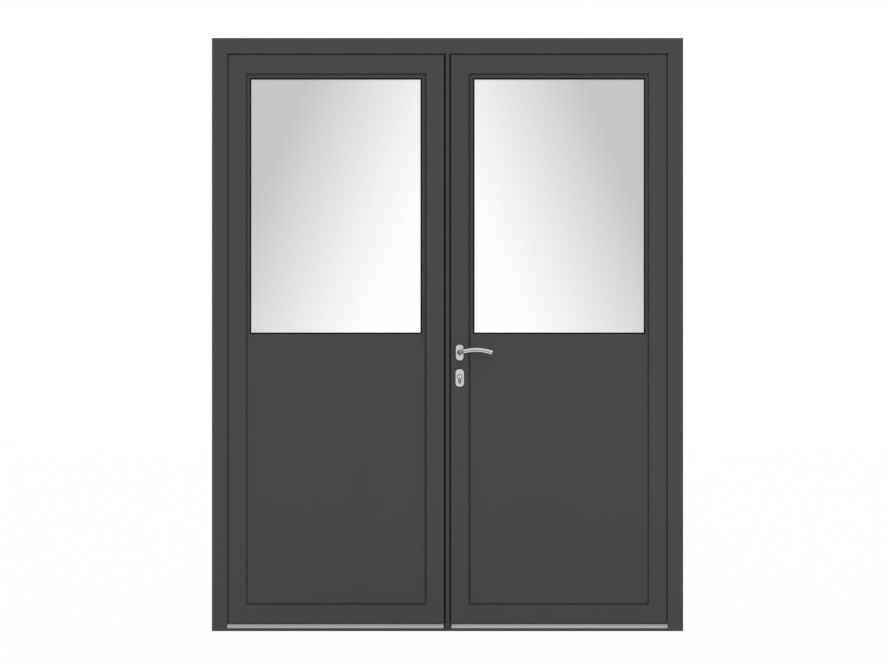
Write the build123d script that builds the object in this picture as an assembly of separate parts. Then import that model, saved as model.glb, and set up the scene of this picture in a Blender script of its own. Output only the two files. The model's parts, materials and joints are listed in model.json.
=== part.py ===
"""Two-leaf half-glazed aluminium service door, in millimetres.

X runs to the right as seen from outside, Y runs inwards, Z runs up.
The origin lies on the underside of the threshold, at the middle of the door.
"""
import os

from build123d import *

# Overall size of the door with its frame
DOOR_WIDTH = 1708.0
DOOR_HEIGHT = 2150.0
FRAME_DEPTH = 70.0

# Frame extrusion: a tube with a stop lip on its outside
FRAME_FACE = 56.0
FRAME_TUBE = 37.0
STOP_LIP = 3.0
STOP_NIB = 3.0
STOP_DEPTH = 8.0

# Leaf extrusion: a tube with a flange behind the stop and a lip over the panel
LEAF_TUBE = 46.0
LEAF_FACE = 64.5
LEAF_FLANGE_SET = 14.0
LEAF_BOTTOM_FLANGE = 12.0
PANEL_LIP = 3.0

# Walls and insulating bars of all the extrusions
WALL = 2.0
BAR_WIDTH = 20.0
BAR_THICKNESS = 2.0
BAR_RECESS = 0.5
OUTER_SHELL_DEPTH = 20.0

# Gaps between the leaves and what stands round them
LEAF_GAP = 6.0
THRESHOLD_GAP = 5.0

# Threshold
THRESHOLD_BASE_HEIGHT = 10.5
THRESHOLD_HEIGHT = 26.5
THRESHOLD_UPSTAND = 8.0
THRESHOLD_SLOPE = 4.0
THRESHOLD_SLOPE_HEIGHT = 7.0
THRESHOLD_PLATE = 2.5
TREAD_GROOVE_WIDTH = 2.0
TREAD_GROOVE_DEPTH = 1.0
TREAD_GROOVE_COUNT = 6
TREAD_GROOVE_SPACING = 8.0
KEEP_WIDTH = 20.0

# Meeting of the two leaves
MEETING_EDGE = 13.3
STRIP_WIDTH = 12.6
STRIP_GROOVE_DEPTH = 10.0
STRIP_BEVEL = 3.0
LEAF_BEVEL = 7.0
SEAL_THICKNESS = 1.5
SEAL_CLEARANCE = 0.3

# Infill panel and its seals
PANEL_SET = 6.0
PANEL_THICKNESS = 40.0
PANEL_CLEARANCE = 5.0
GASKET_THICKNESS = 3.0
PANEL_GASKET_SHOWN = 3.8
PANEL_GASKET_SHOWN_MEETING = 6.5
GASKET_BELOW_FACE = 1.0
BEAD_WIDTH = 18.0
BEAD_WALL = 1.5
MITRE_JOINT = 0.2

# Window in the panel: the glass that shows, and how it is held
WINDOW_HINGE_BORDER = 15.5
WINDOW_MEETING_BORDER = 19.8
WINDOW_TOP_BORDER = 20.5
GLASS_SILL = 1082.0
WINDOW_GASKET_SHOWN = 6.0
WINDOW_GASKET_RECESS = 0.5
PANEL_SKIN = 3.0
GLASS_COVER = 15.0
GLASS_CLEARANCE = 3.0
PANE_THICKNESS = 4.0
GLASS_CAVITY = 16.0
SPACER_WIDTH = 10.0
SPACER_INSET = 3.0

# Hinges
HINGE_FROM_LEAF_END = 240.0
HINGE_LENGTH = 110.0
HINGE_MIDDLE_KNUCKLE = 44.0
HINGE_AXIS_OUT = 12.0
HINGE_KNUCKLE_RADIUS = 9.0
HINGE_PIN_RADIUS = 4.0
HINGE_RUNNING_CLEARANCE = 0.06
HINGE_KNUCKLE_GAP = 0.3
HINGE_PLATE = 3.0
HINGE_PLATE_WIDTH = 32.0
HINGE_WEB = 9.0

# Lock and handle set
BACKSET = 31.0
LEVER_HEIGHT = 1010.0
CYLINDER_BELOW_LEVER = 88.0
LOCK_PLATE_WIDTH = 24.0
LOCK_PLATE_HEIGHT = 245.0
LOCK_PLATE_THICKNESS = 3.0
LOCK_PLATE_BELOW_LEVER = 25.0
LOCK_BODY_HEIGHT = 170.0
LOCK_BODY_THICKNESS = 15.0
LOCK_BODY_DEPTH = 39.0
LOCK_BODY_BELOW_LEVER = 40.0
STRIKE_HEIGHT = 180.0
STRIKE_THICKNESS = 2.0
LATCH_HEIGHT = 30.0
DEAD_BOLT_HEIGHT = 34.0
BOLT_THICKNESS = 10.0
BOLT_LENGTH = 20.0
BOLT_CLEARANCE = 0.3
BOLT_DRAWN_BACK = 0.5
ROSETTE_WIDTH = 28.4
ROSETTE_HEIGHT = 57.2
ESCUTCHEON_WIDTH = 30.8
ESCUTCHEON_HEIGHT = 63.5
PLATE_CORNER_RADIUS = 12.5
PLATE_THICKNESS = 8.0
CYLINDER_RADIUS = 8.5
CYLINDER_TAIL_WIDTH = 10.0
CYLINDER_TAIL_DROP = 24.5
CYLINDER_PROUD = 2.0
CYLINDER_CLEARANCE = 0.3
KEYWAY_WIDTH = 2.2
KEYWAY_HEIGHT = 9.0
KEYWAY_DEPTH = 14.0
ESCUTCHEON_DROP = 4.0
SPINDLE_SIDE = 8.0
SPINDLE_CLEARANCE = 0.05
SPINDLE_HOLE_RADIUS = 9.0
SPINDLE_INTO_LEVER = 20.0
LEVER_NECK_RADIUS = 8.5
LEVER_NECK_CLEARANCE = 0.3
LEVER_STAND_OFF = 50.0
LEVER_REACH = 116.5
LEVER_ARCH = 9.4
LEVER_GRIP_HEIGHT = 15.5
LEVER_GRIP_DEPTH = 11.0
LEVER_GRIP_BEVEL = 3.0

# Flush bolts that hold the left leaf shut, let into the meeting strip
FLUSH_BOLT_WIDTH = 18.0
FLUSH_BOLT_HEIGHT = 180.0
FLUSH_BOLT_THICKNESS = 2.0
FLUSH_BOLT_FROM_LEAF_END = 190.0
FLUSH_BOLT_SLOT_WIDTH = 9.0
FLUSH_BOLT_SLOT_HEIGHT = 62.0
FLUSH_BOLT_LEVER_CLEARANCE = 0.3

# Screw holes through the jambs into the wall
FIXING_RADIUS = 5.0
FIXING_FROM_END = 210.0
FIXING_COUNT = 4

# Planes that follow from the sizes above
OUTSIDE = -FRAME_DEPTH / 2
INSIDE = FRAME_DEPTH / 2
BAR_OUTSIDE = OUTSIDE + OUTER_SHELL_DEPTH
BAR_INSIDE = BAR_OUTSIDE + BAR_WIDTH
FIXING_Y = (BAR_INSIDE + INSIDE) / 2
HALF_WIDTH = DOOR_WIDTH / 2
LEAF_EDGE = HALF_WIDTH - FRAME_FACE - LEAF_GAP
LEAF_TOP = DOOR_HEIGHT - FRAME_FACE - LEAF_GAP
LEAF_BOTTOM = THRESHOLD_HEIGHT + THRESHOLD_GAP
LEAF_FLANGE = FRAME_FACE - FRAME_TUBE
FLANGE_FRONT = OUTSIDE + LEAF_FLANGE_SET
FLANGE_EDGE = LEAF_EDGE + LEAF_FLANGE
FLANGE_TOP = LEAF_TOP + LEAF_FLANGE
FLANGE_BOTTOM = LEAF_BOTTOM - LEAF_BOTTOM_FLANGE
PANEL_FRONT = OUTSIDE + PANEL_SET
PANEL_BACK = PANEL_FRONT + PANEL_THICKNESS
BEAD_FRONT = PANEL_BACK + GASKET_THICKNESS
GLASS_FRONT = PANEL_FRONT + PANEL_SKIN + GASKET_THICKNESS
GLASS_BACK = GLASS_FRONT + 2 * PANE_THICKNESS + GLASS_CAVITY
HINGE_X = FLANGE_EDGE + HINGE_PLATE
HINGE_Y = INSIDE + HINGE_AXIS_OUT
STRIP_HALF = STRIP_WIDTH / 2
LOCK_X = MEETING_EDGE + BACKSET
CYLINDER_HEIGHT = LEVER_HEIGHT - CYLINDER_BELOW_LEVER
LOCK_PLATE_MIDDLE = LEVER_HEIGHT - LOCK_PLATE_BELOW_LEVER
LOCK_BODY_MIDDLE = LEVER_HEIGHT - LOCK_BODY_BELOW_LEVER
LOWEST_HINGE = LEAF_BOTTOM + HINGE_FROM_LEAF_END
HIGHEST_HINGE = LEAF_TOP - HINGE_FROM_LEAF_END
HINGE_HEIGHTS = (LOWEST_HINGE, (LOWEST_HINGE + HIGHEST_HINGE) / 2, HIGHEST_HINGE)
FLUSH_BOLT_MIDDLES = (LEAF_BOTTOM + FLUSH_BOLT_FROM_LEAF_END, LEAF_TOP - FLUSH_BOLT_FROM_LEAF_END)
FIXING_STEP = (DOOR_HEIGHT - 2 * FIXING_FROM_END) / (FIXING_COUNT - 1)
FIXING_HEIGHTS = [FIXING_FROM_END + FIXING_STEP * index for index in range(FIXING_COUNT)]
BAR_MIDDLE = (BAR_OUTSIDE + BAR_INSIDE) / 2

# Room to spare on cutting tools, so that they pass clear of the faces they cut
SPARE = 10.0


def block(x, y, z):
    """A box between the two ends given for each axis, in either order."""
    low = [min(pair) for pair in (x, y, z)]
    high = [max(pair) for pair in (x, y, z)]
    size = [b - a for a, b in zip(low, high)]
    return Pos(*low) * Box(*size, align=Align.MIN)


def prism_z(points, low, high):
    """An outline of (x, y) points carried up from one height to another."""
    face = Plane.XY.offset(low) * Polygon(*points, align=None)
    return extrude(face, amount=high - low, dir=(0, 0, 1))


def prism_x(points, low, high):
    """An outline of (y, z) points carried along X."""
    face = Plane.YZ.offset(low) * Polygon(*points, align=None)
    return extrude(face, amount=high - low, dir=(1, 0, 0))


def prism_y(points, low, high):
    """An outline of (x, z) points carried inwards along Y."""
    face = Plane.XZ.offset(-low) * Polygon(*points, align=None)
    return extrude(face, amount=high - low, dir=(0, 1, 0))


def rectangle(u, v):
    """The corners of a rectangle between two ends on each axis."""
    return [(u[0], v[0]), (u[1], v[0]), (u[1], v[1]), (u[0], v[1])]


def ring(x, z, y, outer, inner):
    """A flat frame round the window or panel: grown by outer, open by inner."""
    def plate(grow):
        return block((x[0] - grow, x[1] + grow), y, (z[0] - grow, z[1] + grow))
    return plate(outer) - plate(inner)


def mirrored_x(points, side):
    """Points given by their distance from the middle, put on one side of it."""
    return [(side * distance, other) for distance, other in points]


def write(name, *solids):
    """Write one node of one or more solids."""
    shape = solids[0] if len(solids) == 1 else Compound(children=list(solids))
    export_step(shape, f"parts/{name}.step")


def upright(profile, edge, sense, side, low, high):
    """A profile of (u, y) points stood up, with u counted from an edge."""
    points = [(side * (edge + sense * u), y) for u, y in profile]
    return prism_z(points, low, high)


def rail(profile, edge, sense, low, high):
    """A profile of (u, y) points laid along X, with u counted from an edge."""
    points = [(y, edge + sense * u) for u, y in profile]
    return prism_x(points, low, high)


# Frame profile, with u counted from the outer edge of the frame
FRAME_OUTER_SHELL = [
    (0, OUTSIDE),
    (FRAME_FACE, OUTSIDE),
    (FRAME_FACE, OUTSIDE + STOP_DEPTH),
    (FRAME_FACE - STOP_NIB, OUTSIDE + STOP_DEPTH),
    (FRAME_FACE - STOP_NIB, OUTSIDE + STOP_LIP),
    (FRAME_TUBE, OUTSIDE + STOP_LIP),
    (FRAME_TUBE, BAR_OUTSIDE),
    (0, BAR_OUTSIDE),
]
FRAME_OUTER_CHAMBER = rectangle((WALL, FRAME_TUBE - WALL), (OUTSIDE + WALL, BAR_OUTSIDE - WALL))
FRAME_INNER_SHELL = rectangle((0, FRAME_TUBE), (BAR_INSIDE, INSIDE))
FRAME_INNER_CHAMBER = rectangle((WALL, FRAME_TUBE - WALL), (BAR_INSIDE + WALL, INSIDE - WALL))


def insulating_bars(first, last):
    """The two bars that hold the shells of an extrusion apart."""
    near = first + BAR_RECESS
    far = last - BAR_RECESS
    return [
        rectangle((near, near + BAR_THICKNESS), (BAR_OUTSIDE, BAR_INSIDE)),
        rectangle((far - BAR_THICKNESS, far), (BAR_OUTSIDE, BAR_INSIDE)),
    ]


FRAME_BARS = insulating_bars(0, FRAME_TUBE)


def leaf_outer_shell(flange):
    """Outer shell of a leaf member, with u counted from the edge that shows outside."""
    return [
        (0, OUTSIDE),
        (LEAF_FACE, OUTSIDE),
        (LEAF_FACE, OUTSIDE + PANEL_LIP),
        (LEAF_TUBE, OUTSIDE + PANEL_LIP),
        (LEAF_TUBE, BAR_OUTSIDE),
        (-flange, BAR_OUTSIDE),
        (-flange, FLANGE_FRONT),
        (0, FLANGE_FRONT),
    ]


LEAF_OUTER_CHAMBER = rectangle((WALL, LEAF_TUBE - WALL), (OUTSIDE + WALL, BAR_OUTSIDE - WALL))


def leaf_inner_shell(flange):
    return rectangle((-flange, LEAF_TUBE), (BAR_INSIDE, INSIDE))


def leaf_inner_chamber(flange):
    return rectangle((-flange + WALL, LEAF_TUBE - WALL), (BAR_INSIDE + WALL, INSIDE - WALL))


def meeting_bevel(y):
    """How far the bevelled meeting edge of the right leaf has drawn back at a depth."""
    return LEAF_BEVEL * (y - OUTSIDE) / FRAME_DEPTH


def strip_face(y):
    """Where the free face of the meeting strip stands at a depth."""
    return STRIP_HALF - STRIP_BEVEL * (y - OUTSIDE) / FRAME_DEPTH


def meeting_profiles(bevelled):
    """Outer shell, its chamber, inner shell, its chamber and bars of a meeting stile."""
    def edge(y, inset=0.0):
        return (meeting_bevel(y) if bevelled else 0.0) + inset
    low, high = OUTSIDE + WALL, BAR_OUTSIDE - WALL
    back_low, back_high = BAR_INSIDE + WALL, INSIDE - WALL
    outer = [
        (edge(OUTSIDE), OUTSIDE),
        (LEAF_FACE, OUTSIDE),
        (LEAF_FACE, OUTSIDE + PANEL_LIP),
        (LEAF_TUBE, OUTSIDE + PANEL_LIP),
        (LEAF_TUBE, BAR_OUTSIDE),
        (edge(BAR_OUTSIDE), BAR_OUTSIDE),
    ]
    outer_chamber = [
        (edge(low, WALL), low),
        (LEAF_TUBE - WALL, low),
        (LEAF_TUBE - WALL, high),
        (edge(high, WALL), high),
    ]
    inner = [
        (edge(BAR_INSIDE), BAR_INSIDE),
        (LEAF_TUBE, BAR_INSIDE),
        (LEAF_TUBE, INSIDE),
        (edge(INSIDE), INSIDE),
    ]
    inner_chamber = [
        (edge(back_low, WALL), back_low),
        (LEAF_TUBE - WALL, back_low),
        (LEAF_TUBE - WALL, back_high),
        (edge(back_high, WALL), back_high),
    ]
    return outer, outer_chamber, inner, inner_chamber, insulating_bars(edge(BAR_INSIDE), LEAF_TUBE)


def screw_holes(side):
    """Holes through both walls of a jamb's inner shell, for screws into the wall."""
    start = side * (HALF_WIDTH - FRAME_TUBE - SPARE)
    axis = Plane(origin=(start, FIXING_Y, 0), z_dir=(side, 0, 0))
    hole = extrude(axis * Circle(FIXING_RADIUS), amount=FRAME_TUBE + 2 * SPARE)
    return [Pos(0, 0, height) * hole for height in FIXING_HEIGHTS]


def make_frame():
    """Jambs, head, their insulating bars and the gasket behind the stop."""
    reach = FRAME_FACE + SPARE
    bars = []
    for side, name in ((-1, "left_jamb"), (1, "right_jamb")):
        trapezium = mirrored_x([
            (HALF_WIDTH, 0),
            (HALF_WIDTH, DOOR_HEIGHT),
            (HALF_WIDTH - reach, DOOR_HEIGHT - reach),
            (HALF_WIDTH - reach, 0),
        ], side)
        region = prism_y(trapezium, OUTSIDE, INSIDE)

        def stand(profile):
            return upright(profile, HALF_WIDTH, -1, side, 0, DOOR_HEIGHT)
        outer = (stand(FRAME_OUTER_SHELL) - stand(FRAME_OUTER_CHAMBER)) & region
        inner = (stand(FRAME_INNER_SHELL) - stand(FRAME_INNER_CHAMBER)) & region
        inner -= screw_holes(side)
        write(name, outer, inner)
        bars += [stand(bar) & region for bar in FRAME_BARS]

    head_region = prism_y([
        (-HALF_WIDTH, DOOR_HEIGHT),
        (HALF_WIDTH, DOOR_HEIGHT),
        (HALF_WIDTH - reach, DOOR_HEIGHT - reach),
        (reach - HALF_WIDTH, DOOR_HEIGHT - reach),
    ], OUTSIDE, INSIDE)

    def lay(profile):
        return rail(profile, DOOR_HEIGHT, -1, -HALF_WIDTH, HALF_WIDTH)
    outer = (lay(FRAME_OUTER_SHELL) - lay(FRAME_OUTER_CHAMBER)) & head_region
    inner = (lay(FRAME_INNER_SHELL) - lay(FRAME_INNER_CHAMBER)) & head_region
    write("head", outer, inner)
    bars += [lay(bar) & head_region for bar in FRAME_BARS]
    write("frame_thermal_bars", *bars)

    tube_side = HALF_WIDTH - FRAME_TUBE
    tube_top = DOOR_HEIGHT - FRAME_TUBE
    nib = FRAME_FACE - STOP_NIB - FRAME_TUBE
    depth = (OUTSIDE + STOP_LIP, OUTSIDE + STOP_DEPTH)
    gasket = block((-tube_side, tube_side), depth, (THRESHOLD_HEIGHT, tube_top))
    gasket -= block((nib - tube_side, tube_side - nib), depth, (0, tube_top - nib))
    write("frame_gasket", gasket)


def make_threshold():
    """Dark base, pale rail with its upstand, and the keep at the middle."""
    end = HALF_WIDTH - FRAME_TUBE
    lip_end = HALF_WIDTH - FRAME_FACE
    base = block((-end, end), (OUTSIDE + STOP_DEPTH, INSIDE), (0, THRESHOLD_BASE_HEIGHT))
    base += block((-lip_end, lip_end), (OUTSIDE, OUTSIDE + STOP_DEPTH), (0, THRESHOLD_BASE_HEIGHT))
    write("threshold_base", base)

    plate_top = THRESHOLD_BASE_HEIGHT + THRESHOLD_PLATE
    back = OUTSIDE + THRESHOLD_UPSTAND
    plate = block((-end, end), (back, INSIDE), (THRESHOLD_BASE_HEIGHT, plate_top))
    upstand = prism_x([
        (OUTSIDE, THRESHOLD_BASE_HEIGHT),
        (back, THRESHOLD_BASE_HEIGHT),
        (back, THRESHOLD_HEIGHT),
        (OUTSIDE + THRESHOLD_SLOPE, THRESHOLD_HEIGHT),
        (OUTSIDE, THRESHOLD_HEIGHT - THRESHOLD_SLOPE_HEIGHT),
    ], -lip_end, lip_end)
    keep = block(
        (-KEEP_WIDTH / 2, KEEP_WIDTH / 2), (OUTSIDE, back), (THRESHOLD_BASE_HEIGHT, THRESHOLD_HEIGHT)
    )
    rail_shape = plate + upstand - keep
    first = (back + INSIDE) / 2 - TREAD_GROOVE_SPACING * (TREAD_GROOVE_COUNT - 1) / 2
    for index in range(TREAD_GROOVE_COUNT):
        start = first + TREAD_GROOVE_SPACING * index - TREAD_GROOVE_WIDTH / 2
        rail_shape -= block(
            (-end, end), (start, start + TREAD_GROOVE_WIDTH), (plate_top - TREAD_GROOVE_DEPTH, plate_top)
        )
    write("threshold_rail", rail_shape)
    write("threshold_keep", keep)


def leaf_regions(side):
    """Where each mitred member of a leaf ends, seen from outside."""
    reach = LEAF_FACE + SPARE
    drop = LEAF_FLANGE - LEAF_BOTTOM_FLANGE
    inner_hinge = LEAF_EDGE - reach
    inner_meeting = MEETING_EDGE + reach
    inner_top = LEAF_TOP - reach
    inner_bottom = LEAF_BOTTOM + reach
    outlines = {
        "hinge_stile": [
            (FLANGE_EDGE, FLANGE_TOP),
            (inner_hinge, inner_top),
            (inner_hinge, inner_bottom),
            (FLANGE_EDGE - drop, FLANGE_BOTTOM),
            (FLANGE_EDGE, FLANGE_BOTTOM),
        ],
        "meeting_stile": [
            (MEETING_EDGE, LEAF_TOP),
            (inner_meeting, inner_top),
            (inner_meeting, inner_bottom),
            (MEETING_EDGE, LEAF_BOTTOM),
        ],
        "top_rail": [
            (FLANGE_EDGE, FLANGE_TOP),
            (MEETING_EDGE, FLANGE_TOP),
            (MEETING_EDGE, LEAF_TOP),
            (inner_meeting, inner_top),
            (inner_hinge, inner_top),
        ],
        "bottom_rail": [
            (FLANGE_EDGE - drop, FLANGE_BOTTOM),
            (MEETING_EDGE, FLANGE_BOTTOM),
            (MEETING_EDGE, LEAF_BOTTOM),
            (inner_meeting, inner_bottom),
            (inner_hinge, inner_bottom),
        ],
    }
    return {
        name: prism_y(mirrored_x(points, side), OUTSIDE, INSIDE) for name, points in outlines.items()
    }


def bevel_waste():
    """What the bevel takes off the ends of the right leaf's rails."""
    points = [
        (MEETING_EDGE - SPARE, OUTSIDE),
        (MEETING_EDGE, OUTSIDE),
        (MEETING_EDGE + meeting_bevel(INSIDE), INSIDE),
        (MEETING_EDGE - SPARE, INSIDE),
    ]
    return prism_z(points, 0, DOOR_HEIGHT)


def lock_cuts():
    """Cuts in the right leaf's meeting stile: fitted holes in both faces, one slot in the walls between."""
    slot = block(
        (LOCK_X - SPINDLE_HOLE_RADIUS, LOCK_X + SPINDLE_HOLE_RADIUS),
        (OUTSIDE + 2 * WALL, INSIDE - 2 * WALL),
        (CYLINDER_HEIGHT - CYLINDER_TAIL_DROP - CYLINDER_CLEARANCE, LEVER_HEIGHT + SPINDLE_HOLE_RADIUS),
    )
    cuts = [slot, lock_plate_shape()]
    for face in ((OUTSIDE - SPARE, OUTSIDE + 2 * WALL), (INSIDE - 2 * WALL, INSIDE + SPARE)):
        cuts.append(along_y(Circle(SPINDLE_HOLE_RADIUS), LOCK_X, LEVER_HEIGHT, *face))
        cuts.append(cylinder_shape(CYLINDER_CLEARANCE, *face))
    return cuts


def along_y(sketch, x, z, low, high):
    """A sketch set at a place on the leaf and carried inwards along Y."""
    face = Plane(origin=(x, low, z), x_dir=(1, 0, 0), z_dir=(0, -1, 0)) * sketch
    return extrude(face, amount=high - low, dir=(0, 1, 0))


def cylinder_shape(grow, low, high):
    """The pear outline of a profile cylinder, grown all round and carried along Y."""
    barrel = Circle(CYLINDER_RADIUS + grow)
    tail_end = Pos(0, CYLINDER_TAIL_WIDTH / 2 - CYLINDER_TAIL_DROP) * Circle(CYLINDER_TAIL_WIDTH / 2 + grow)
    tail_height = CYLINDER_TAIL_DROP - CYLINDER_TAIL_WIDTH / 2
    tail = Pos(0, -tail_height / 2) * Rectangle(CYLINDER_TAIL_WIDTH + 2 * grow, tail_height)
    return along_y(barrel + tail + tail_end, LOCK_X, CYLINDER_HEIGHT, low, high)


def edge_plate(face, width, thickness, middle, height):
    """A flat plate let into a bevelled edge; face gives the edge's place at a depth."""
    low, high = BAR_MIDDLE - width / 2, BAR_MIDDLE + width / 2
    points = [
        (face(low), low),
        (face(high), high),
        (face(high) + thickness, high),
        (face(low) + thickness, low),
    ]
    return prism_z(points, middle - height / 2, middle + height / 2)


def leaf_edge_face(y):
    return MEETING_EDGE + meeting_bevel(y)


def lock_plate_shape():
    return edge_plate(
        leaf_edge_face, LOCK_PLATE_WIDTH, LOCK_PLATE_THICKNESS, LOCK_PLATE_MIDDLE, LOCK_PLATE_HEIGHT
    )


def lock_room():
    """Where the insulating bar is milled away for the lock."""
    half = LOCK_PLATE_HEIGHT / 2
    return block(
        (MEETING_EDGE, MEETING_EDGE + LOCK_BODY_DEPTH),
        (BAR_OUTSIDE, BAR_INSIDE),
        (LOCK_PLATE_MIDDLE - half, LOCK_PLATE_MIDDLE + half),
    )


def strike_plate_shape():
    return edge_plate(strip_face, LOCK_PLATE_WIDTH, -STRIKE_THICKNESS, LOCK_PLATE_MIDDLE, STRIKE_HEIGHT)


def make_leaf_members(side, hand):
    """The four hollow members of a leaf and the insulating bars between their shells."""
    regions = leaf_regions(side)
    bevelled = side > 0
    waste = bevel_waste() if bevelled else None
    cuts = lock_cuts() if bevelled else []
    low, high = FLANGE_BOTTOM - SPARE, FLANGE_TOP + SPARE
    ends = sorted((side * (MEETING_EDGE - SPARE), side * (FLANGE_EDGE + SPARE)))

    def hinge_stile(profile):
        return upright(profile, LEAF_EDGE, -1, side, low, high)

    def meeting_stile(profile):
        return upright(profile, MEETING_EDGE, 1, side, low, high)

    def top_rail(profile):
        return rail(profile, LEAF_TOP, -1, *ends)

    def bottom_rail(profile):
        return rail(profile, LEAF_BOTTOM, 1, *ends)

    def flanged(flange):
        return (
            leaf_outer_shell(flange),
            LEAF_OUTER_CHAMBER,
            leaf_inner_shell(flange),
            leaf_inner_chamber(flange),
            insulating_bars(-flange, LEAF_TUBE),
        )

    members = {
        "hinge_stile": (hinge_stile, flanged(LEAF_FLANGE)),
        "meeting_stile": (meeting_stile, meeting_profiles(bevelled)),
        "top_rail": (top_rail, flanged(LEAF_FLANGE)),
        "bottom_rail": (bottom_rail, flanged(LEAF_BOTTOM_FLANGE)),
    }
    all_bars = []
    for name, (carry, profiles) in members.items():
        outer, outer_chamber, inner, inner_chamber, bars = profiles
        shells = [carry(outer) - carry(outer_chamber), carry(inner) - carry(inner_chamber)]
        shells = [shell & regions[name] for shell in shells]
        bars = [carry(bar) & regions[name] for bar in bars]
        if bevelled and name.endswith("rail"):
            shells = [shell - waste for shell in shells]
            bars = [bar - waste for bar in bars]
        if name == "meeting_stile" and cuts:
            shells = [shell - cuts for shell in shells]
            bars[0] -= lock_room()
        write(f"{hand}_{name}", *shells)
        for bar in bars:
            all_bars += bar.solids()
    write(f"{hand}_thermal_bars", *all_bars)


def panel_opening(side):
    """The clear opening inside a leaf's tubes, as its two ends along X and Z."""
    x = sorted((side * (MEETING_EDGE + LEAF_TUBE), side * (LEAF_EDGE - LEAF_TUBE)))
    return x, (LEAF_BOTTOM + LEAF_TUBE, LEAF_TOP - LEAF_TUBE)


def shown_glass(side):
    """The glass that shows, as its two ends along X and Z."""
    meeting = MEETING_EDGE + LEAF_FACE + WINDOW_MEETING_BORDER
    hinge = LEAF_EDGE - LEAF_FACE - WINDOW_HINGE_BORDER
    return sorted((side * meeting, side * hinge)), (GLASS_SILL, LEAF_TOP - LEAF_FACE - WINDOW_TOP_BORDER)


def mitred_beads(x, z, width, y, wall):
    """Four hollow bars round the inside of an opening, mitred with a fine joint."""
    beads = []
    gap = MITRE_JOINT / 2
    middle_x, middle_z = sum(x) / 2, sum(z) / 2
    reach = width + SPARE
    for sign in (-1, 1):
        edge = x[0] if sign < 0 else x[1]
        bar = block((edge, edge - sign * width), y, z)
        bar -= block((edge - sign * wall, edge - sign * (width - wall)), (y[0] + wall, y[1] - wall), z)
        corner_low, corner_high = z[0] + gap, z[1] - gap
        region = [
            (edge, corner_low),
            (edge, corner_high),
            (edge - sign * reach, corner_high - reach),
            (edge - sign * reach, corner_low + reach),
        ]
        beads.append(bar & prism_y(region, *y))
        edge = z[0] if sign < 0 else z[1]
        bar = block(x, y, (edge, edge - sign * width))
        bar -= block(x, (y[0] + wall, y[1] - wall), (edge - sign * wall, edge - sign * (width - wall)))
        corner_low, corner_high = x[0] + gap, x[1] - gap
        region = [
            (corner_low, edge),
            (corner_high, edge),
            (corner_high - reach, edge - sign * reach),
            (corner_low + reach, edge - sign * reach),
        ]
        beads.append(bar & prism_y(region, *y))
    return beads


def make_infill(side, hand):
    """Panel with its window, the double glazing, gaskets and glazing beads of a leaf."""
    x, z = panel_opening(side)
    gx, gz = shown_glass(side)
    lip = LEAF_FACE - LEAF_TUBE
    unit = GLASS_COVER
    recess = unit + GLASS_CLEARANCE

    def opening(grow, y):
        return block((gx[0] - grow, gx[1] + grow), y, (gz[0] - grow, gz[1] + grow))
    panel = block(
        (x[0] + PANEL_CLEARANCE, x[1] - PANEL_CLEARANCE),
        (PANEL_FRONT, PANEL_BACK),
        (z[0] + PANEL_CLEARANCE, z[1] - PANEL_CLEARANCE),
    )
    skin_back = PANEL_FRONT + PANEL_SKIN
    panel -= opening(WINDOW_GASKET_SHOWN, (PANEL_FRONT, skin_back))
    panel -= opening(recess, (skin_back, PANEL_BACK))
    write(f"{hand}_panel", panel)

    gasket_front = OUTSIDE + PANEL_LIP
    shown = lip + PANEL_GASKET_SHOWN
    at_meeting, at_hinge = MEETING_EDGE + LEAF_TUBE + lip, LEAF_EDGE - LEAF_TUBE - shown
    bare = block(
        (side * (at_meeting + PANEL_GASKET_SHOWN_MEETING), side * at_hinge),
        (OUTSIDE, PANEL_FRONT),
        (z[0] + shown, z[1] - shown),
    )
    foot = block(
        (x[0] + PANEL_CLEARANCE, x[1] - PANEL_CLEARANCE),
        (gasket_front, PANEL_FRONT),
        (z[0] + PANEL_CLEARANCE, z[1] - PANEL_CLEARANCE),
    )
    nose = block(
        (x[0] + lip, x[1] - lip), (OUTSIDE + GASKET_BELOW_FACE, gasket_front), (z[0] + lip, z[1] - lip)
    )
    outer = foot + nose - bare
    inner = ring(x, z, (PANEL_BACK, BEAD_FRONT), -PANEL_CLEARANCE, -BEAD_WIDTH)
    write(f"{hand}_panel_gaskets", outer, inner)
    write(f"{hand}_panel_beads", *mitred_beads(x, z, BEAD_WIDTH, (BEAD_FRONT, INSIDE), BEAD_WALL))

    outer_pane = (GLASS_FRONT, GLASS_FRONT + PANE_THICKNESS)
    inner_pane = (GLASS_BACK - PANE_THICKNESS, GLASS_BACK)
    write(f"{hand}_glass_panes", opening(unit, outer_pane), opening(unit, inner_pane))
    cavity = (outer_pane[1], inner_pane[0])
    spacer_outer = unit - SPACER_INSET
    write(f"{hand}_glass_spacer", ring(gx, gz, cavity, spacer_outer, spacer_outer - SPACER_WIDTH))

    outer = ring(gx, gz, (skin_back, GLASS_FRONT), unit, 0)
    outer += ring(gx, gz, (PANEL_FRONT + WINDOW_GASKET_RECESS, skin_back), WINDOW_GASKET_SHOWN, 0)
    bead_front = GLASS_BACK + GASKET_THICKNESS
    inner = ring(gx, gz, (GLASS_BACK, bead_front), unit, 0)
    write(f"{hand}_window_gaskets", outer, inner)
    bx = (gx[0] - recess, gx[1] + recess)
    bz = (gz[0] - recess, gz[1] + recess)
    write(f"{hand}_window_beads", *mitred_beads(bx, bz, recess, (bead_front, PANEL_BACK), BEAD_WALL))


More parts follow.
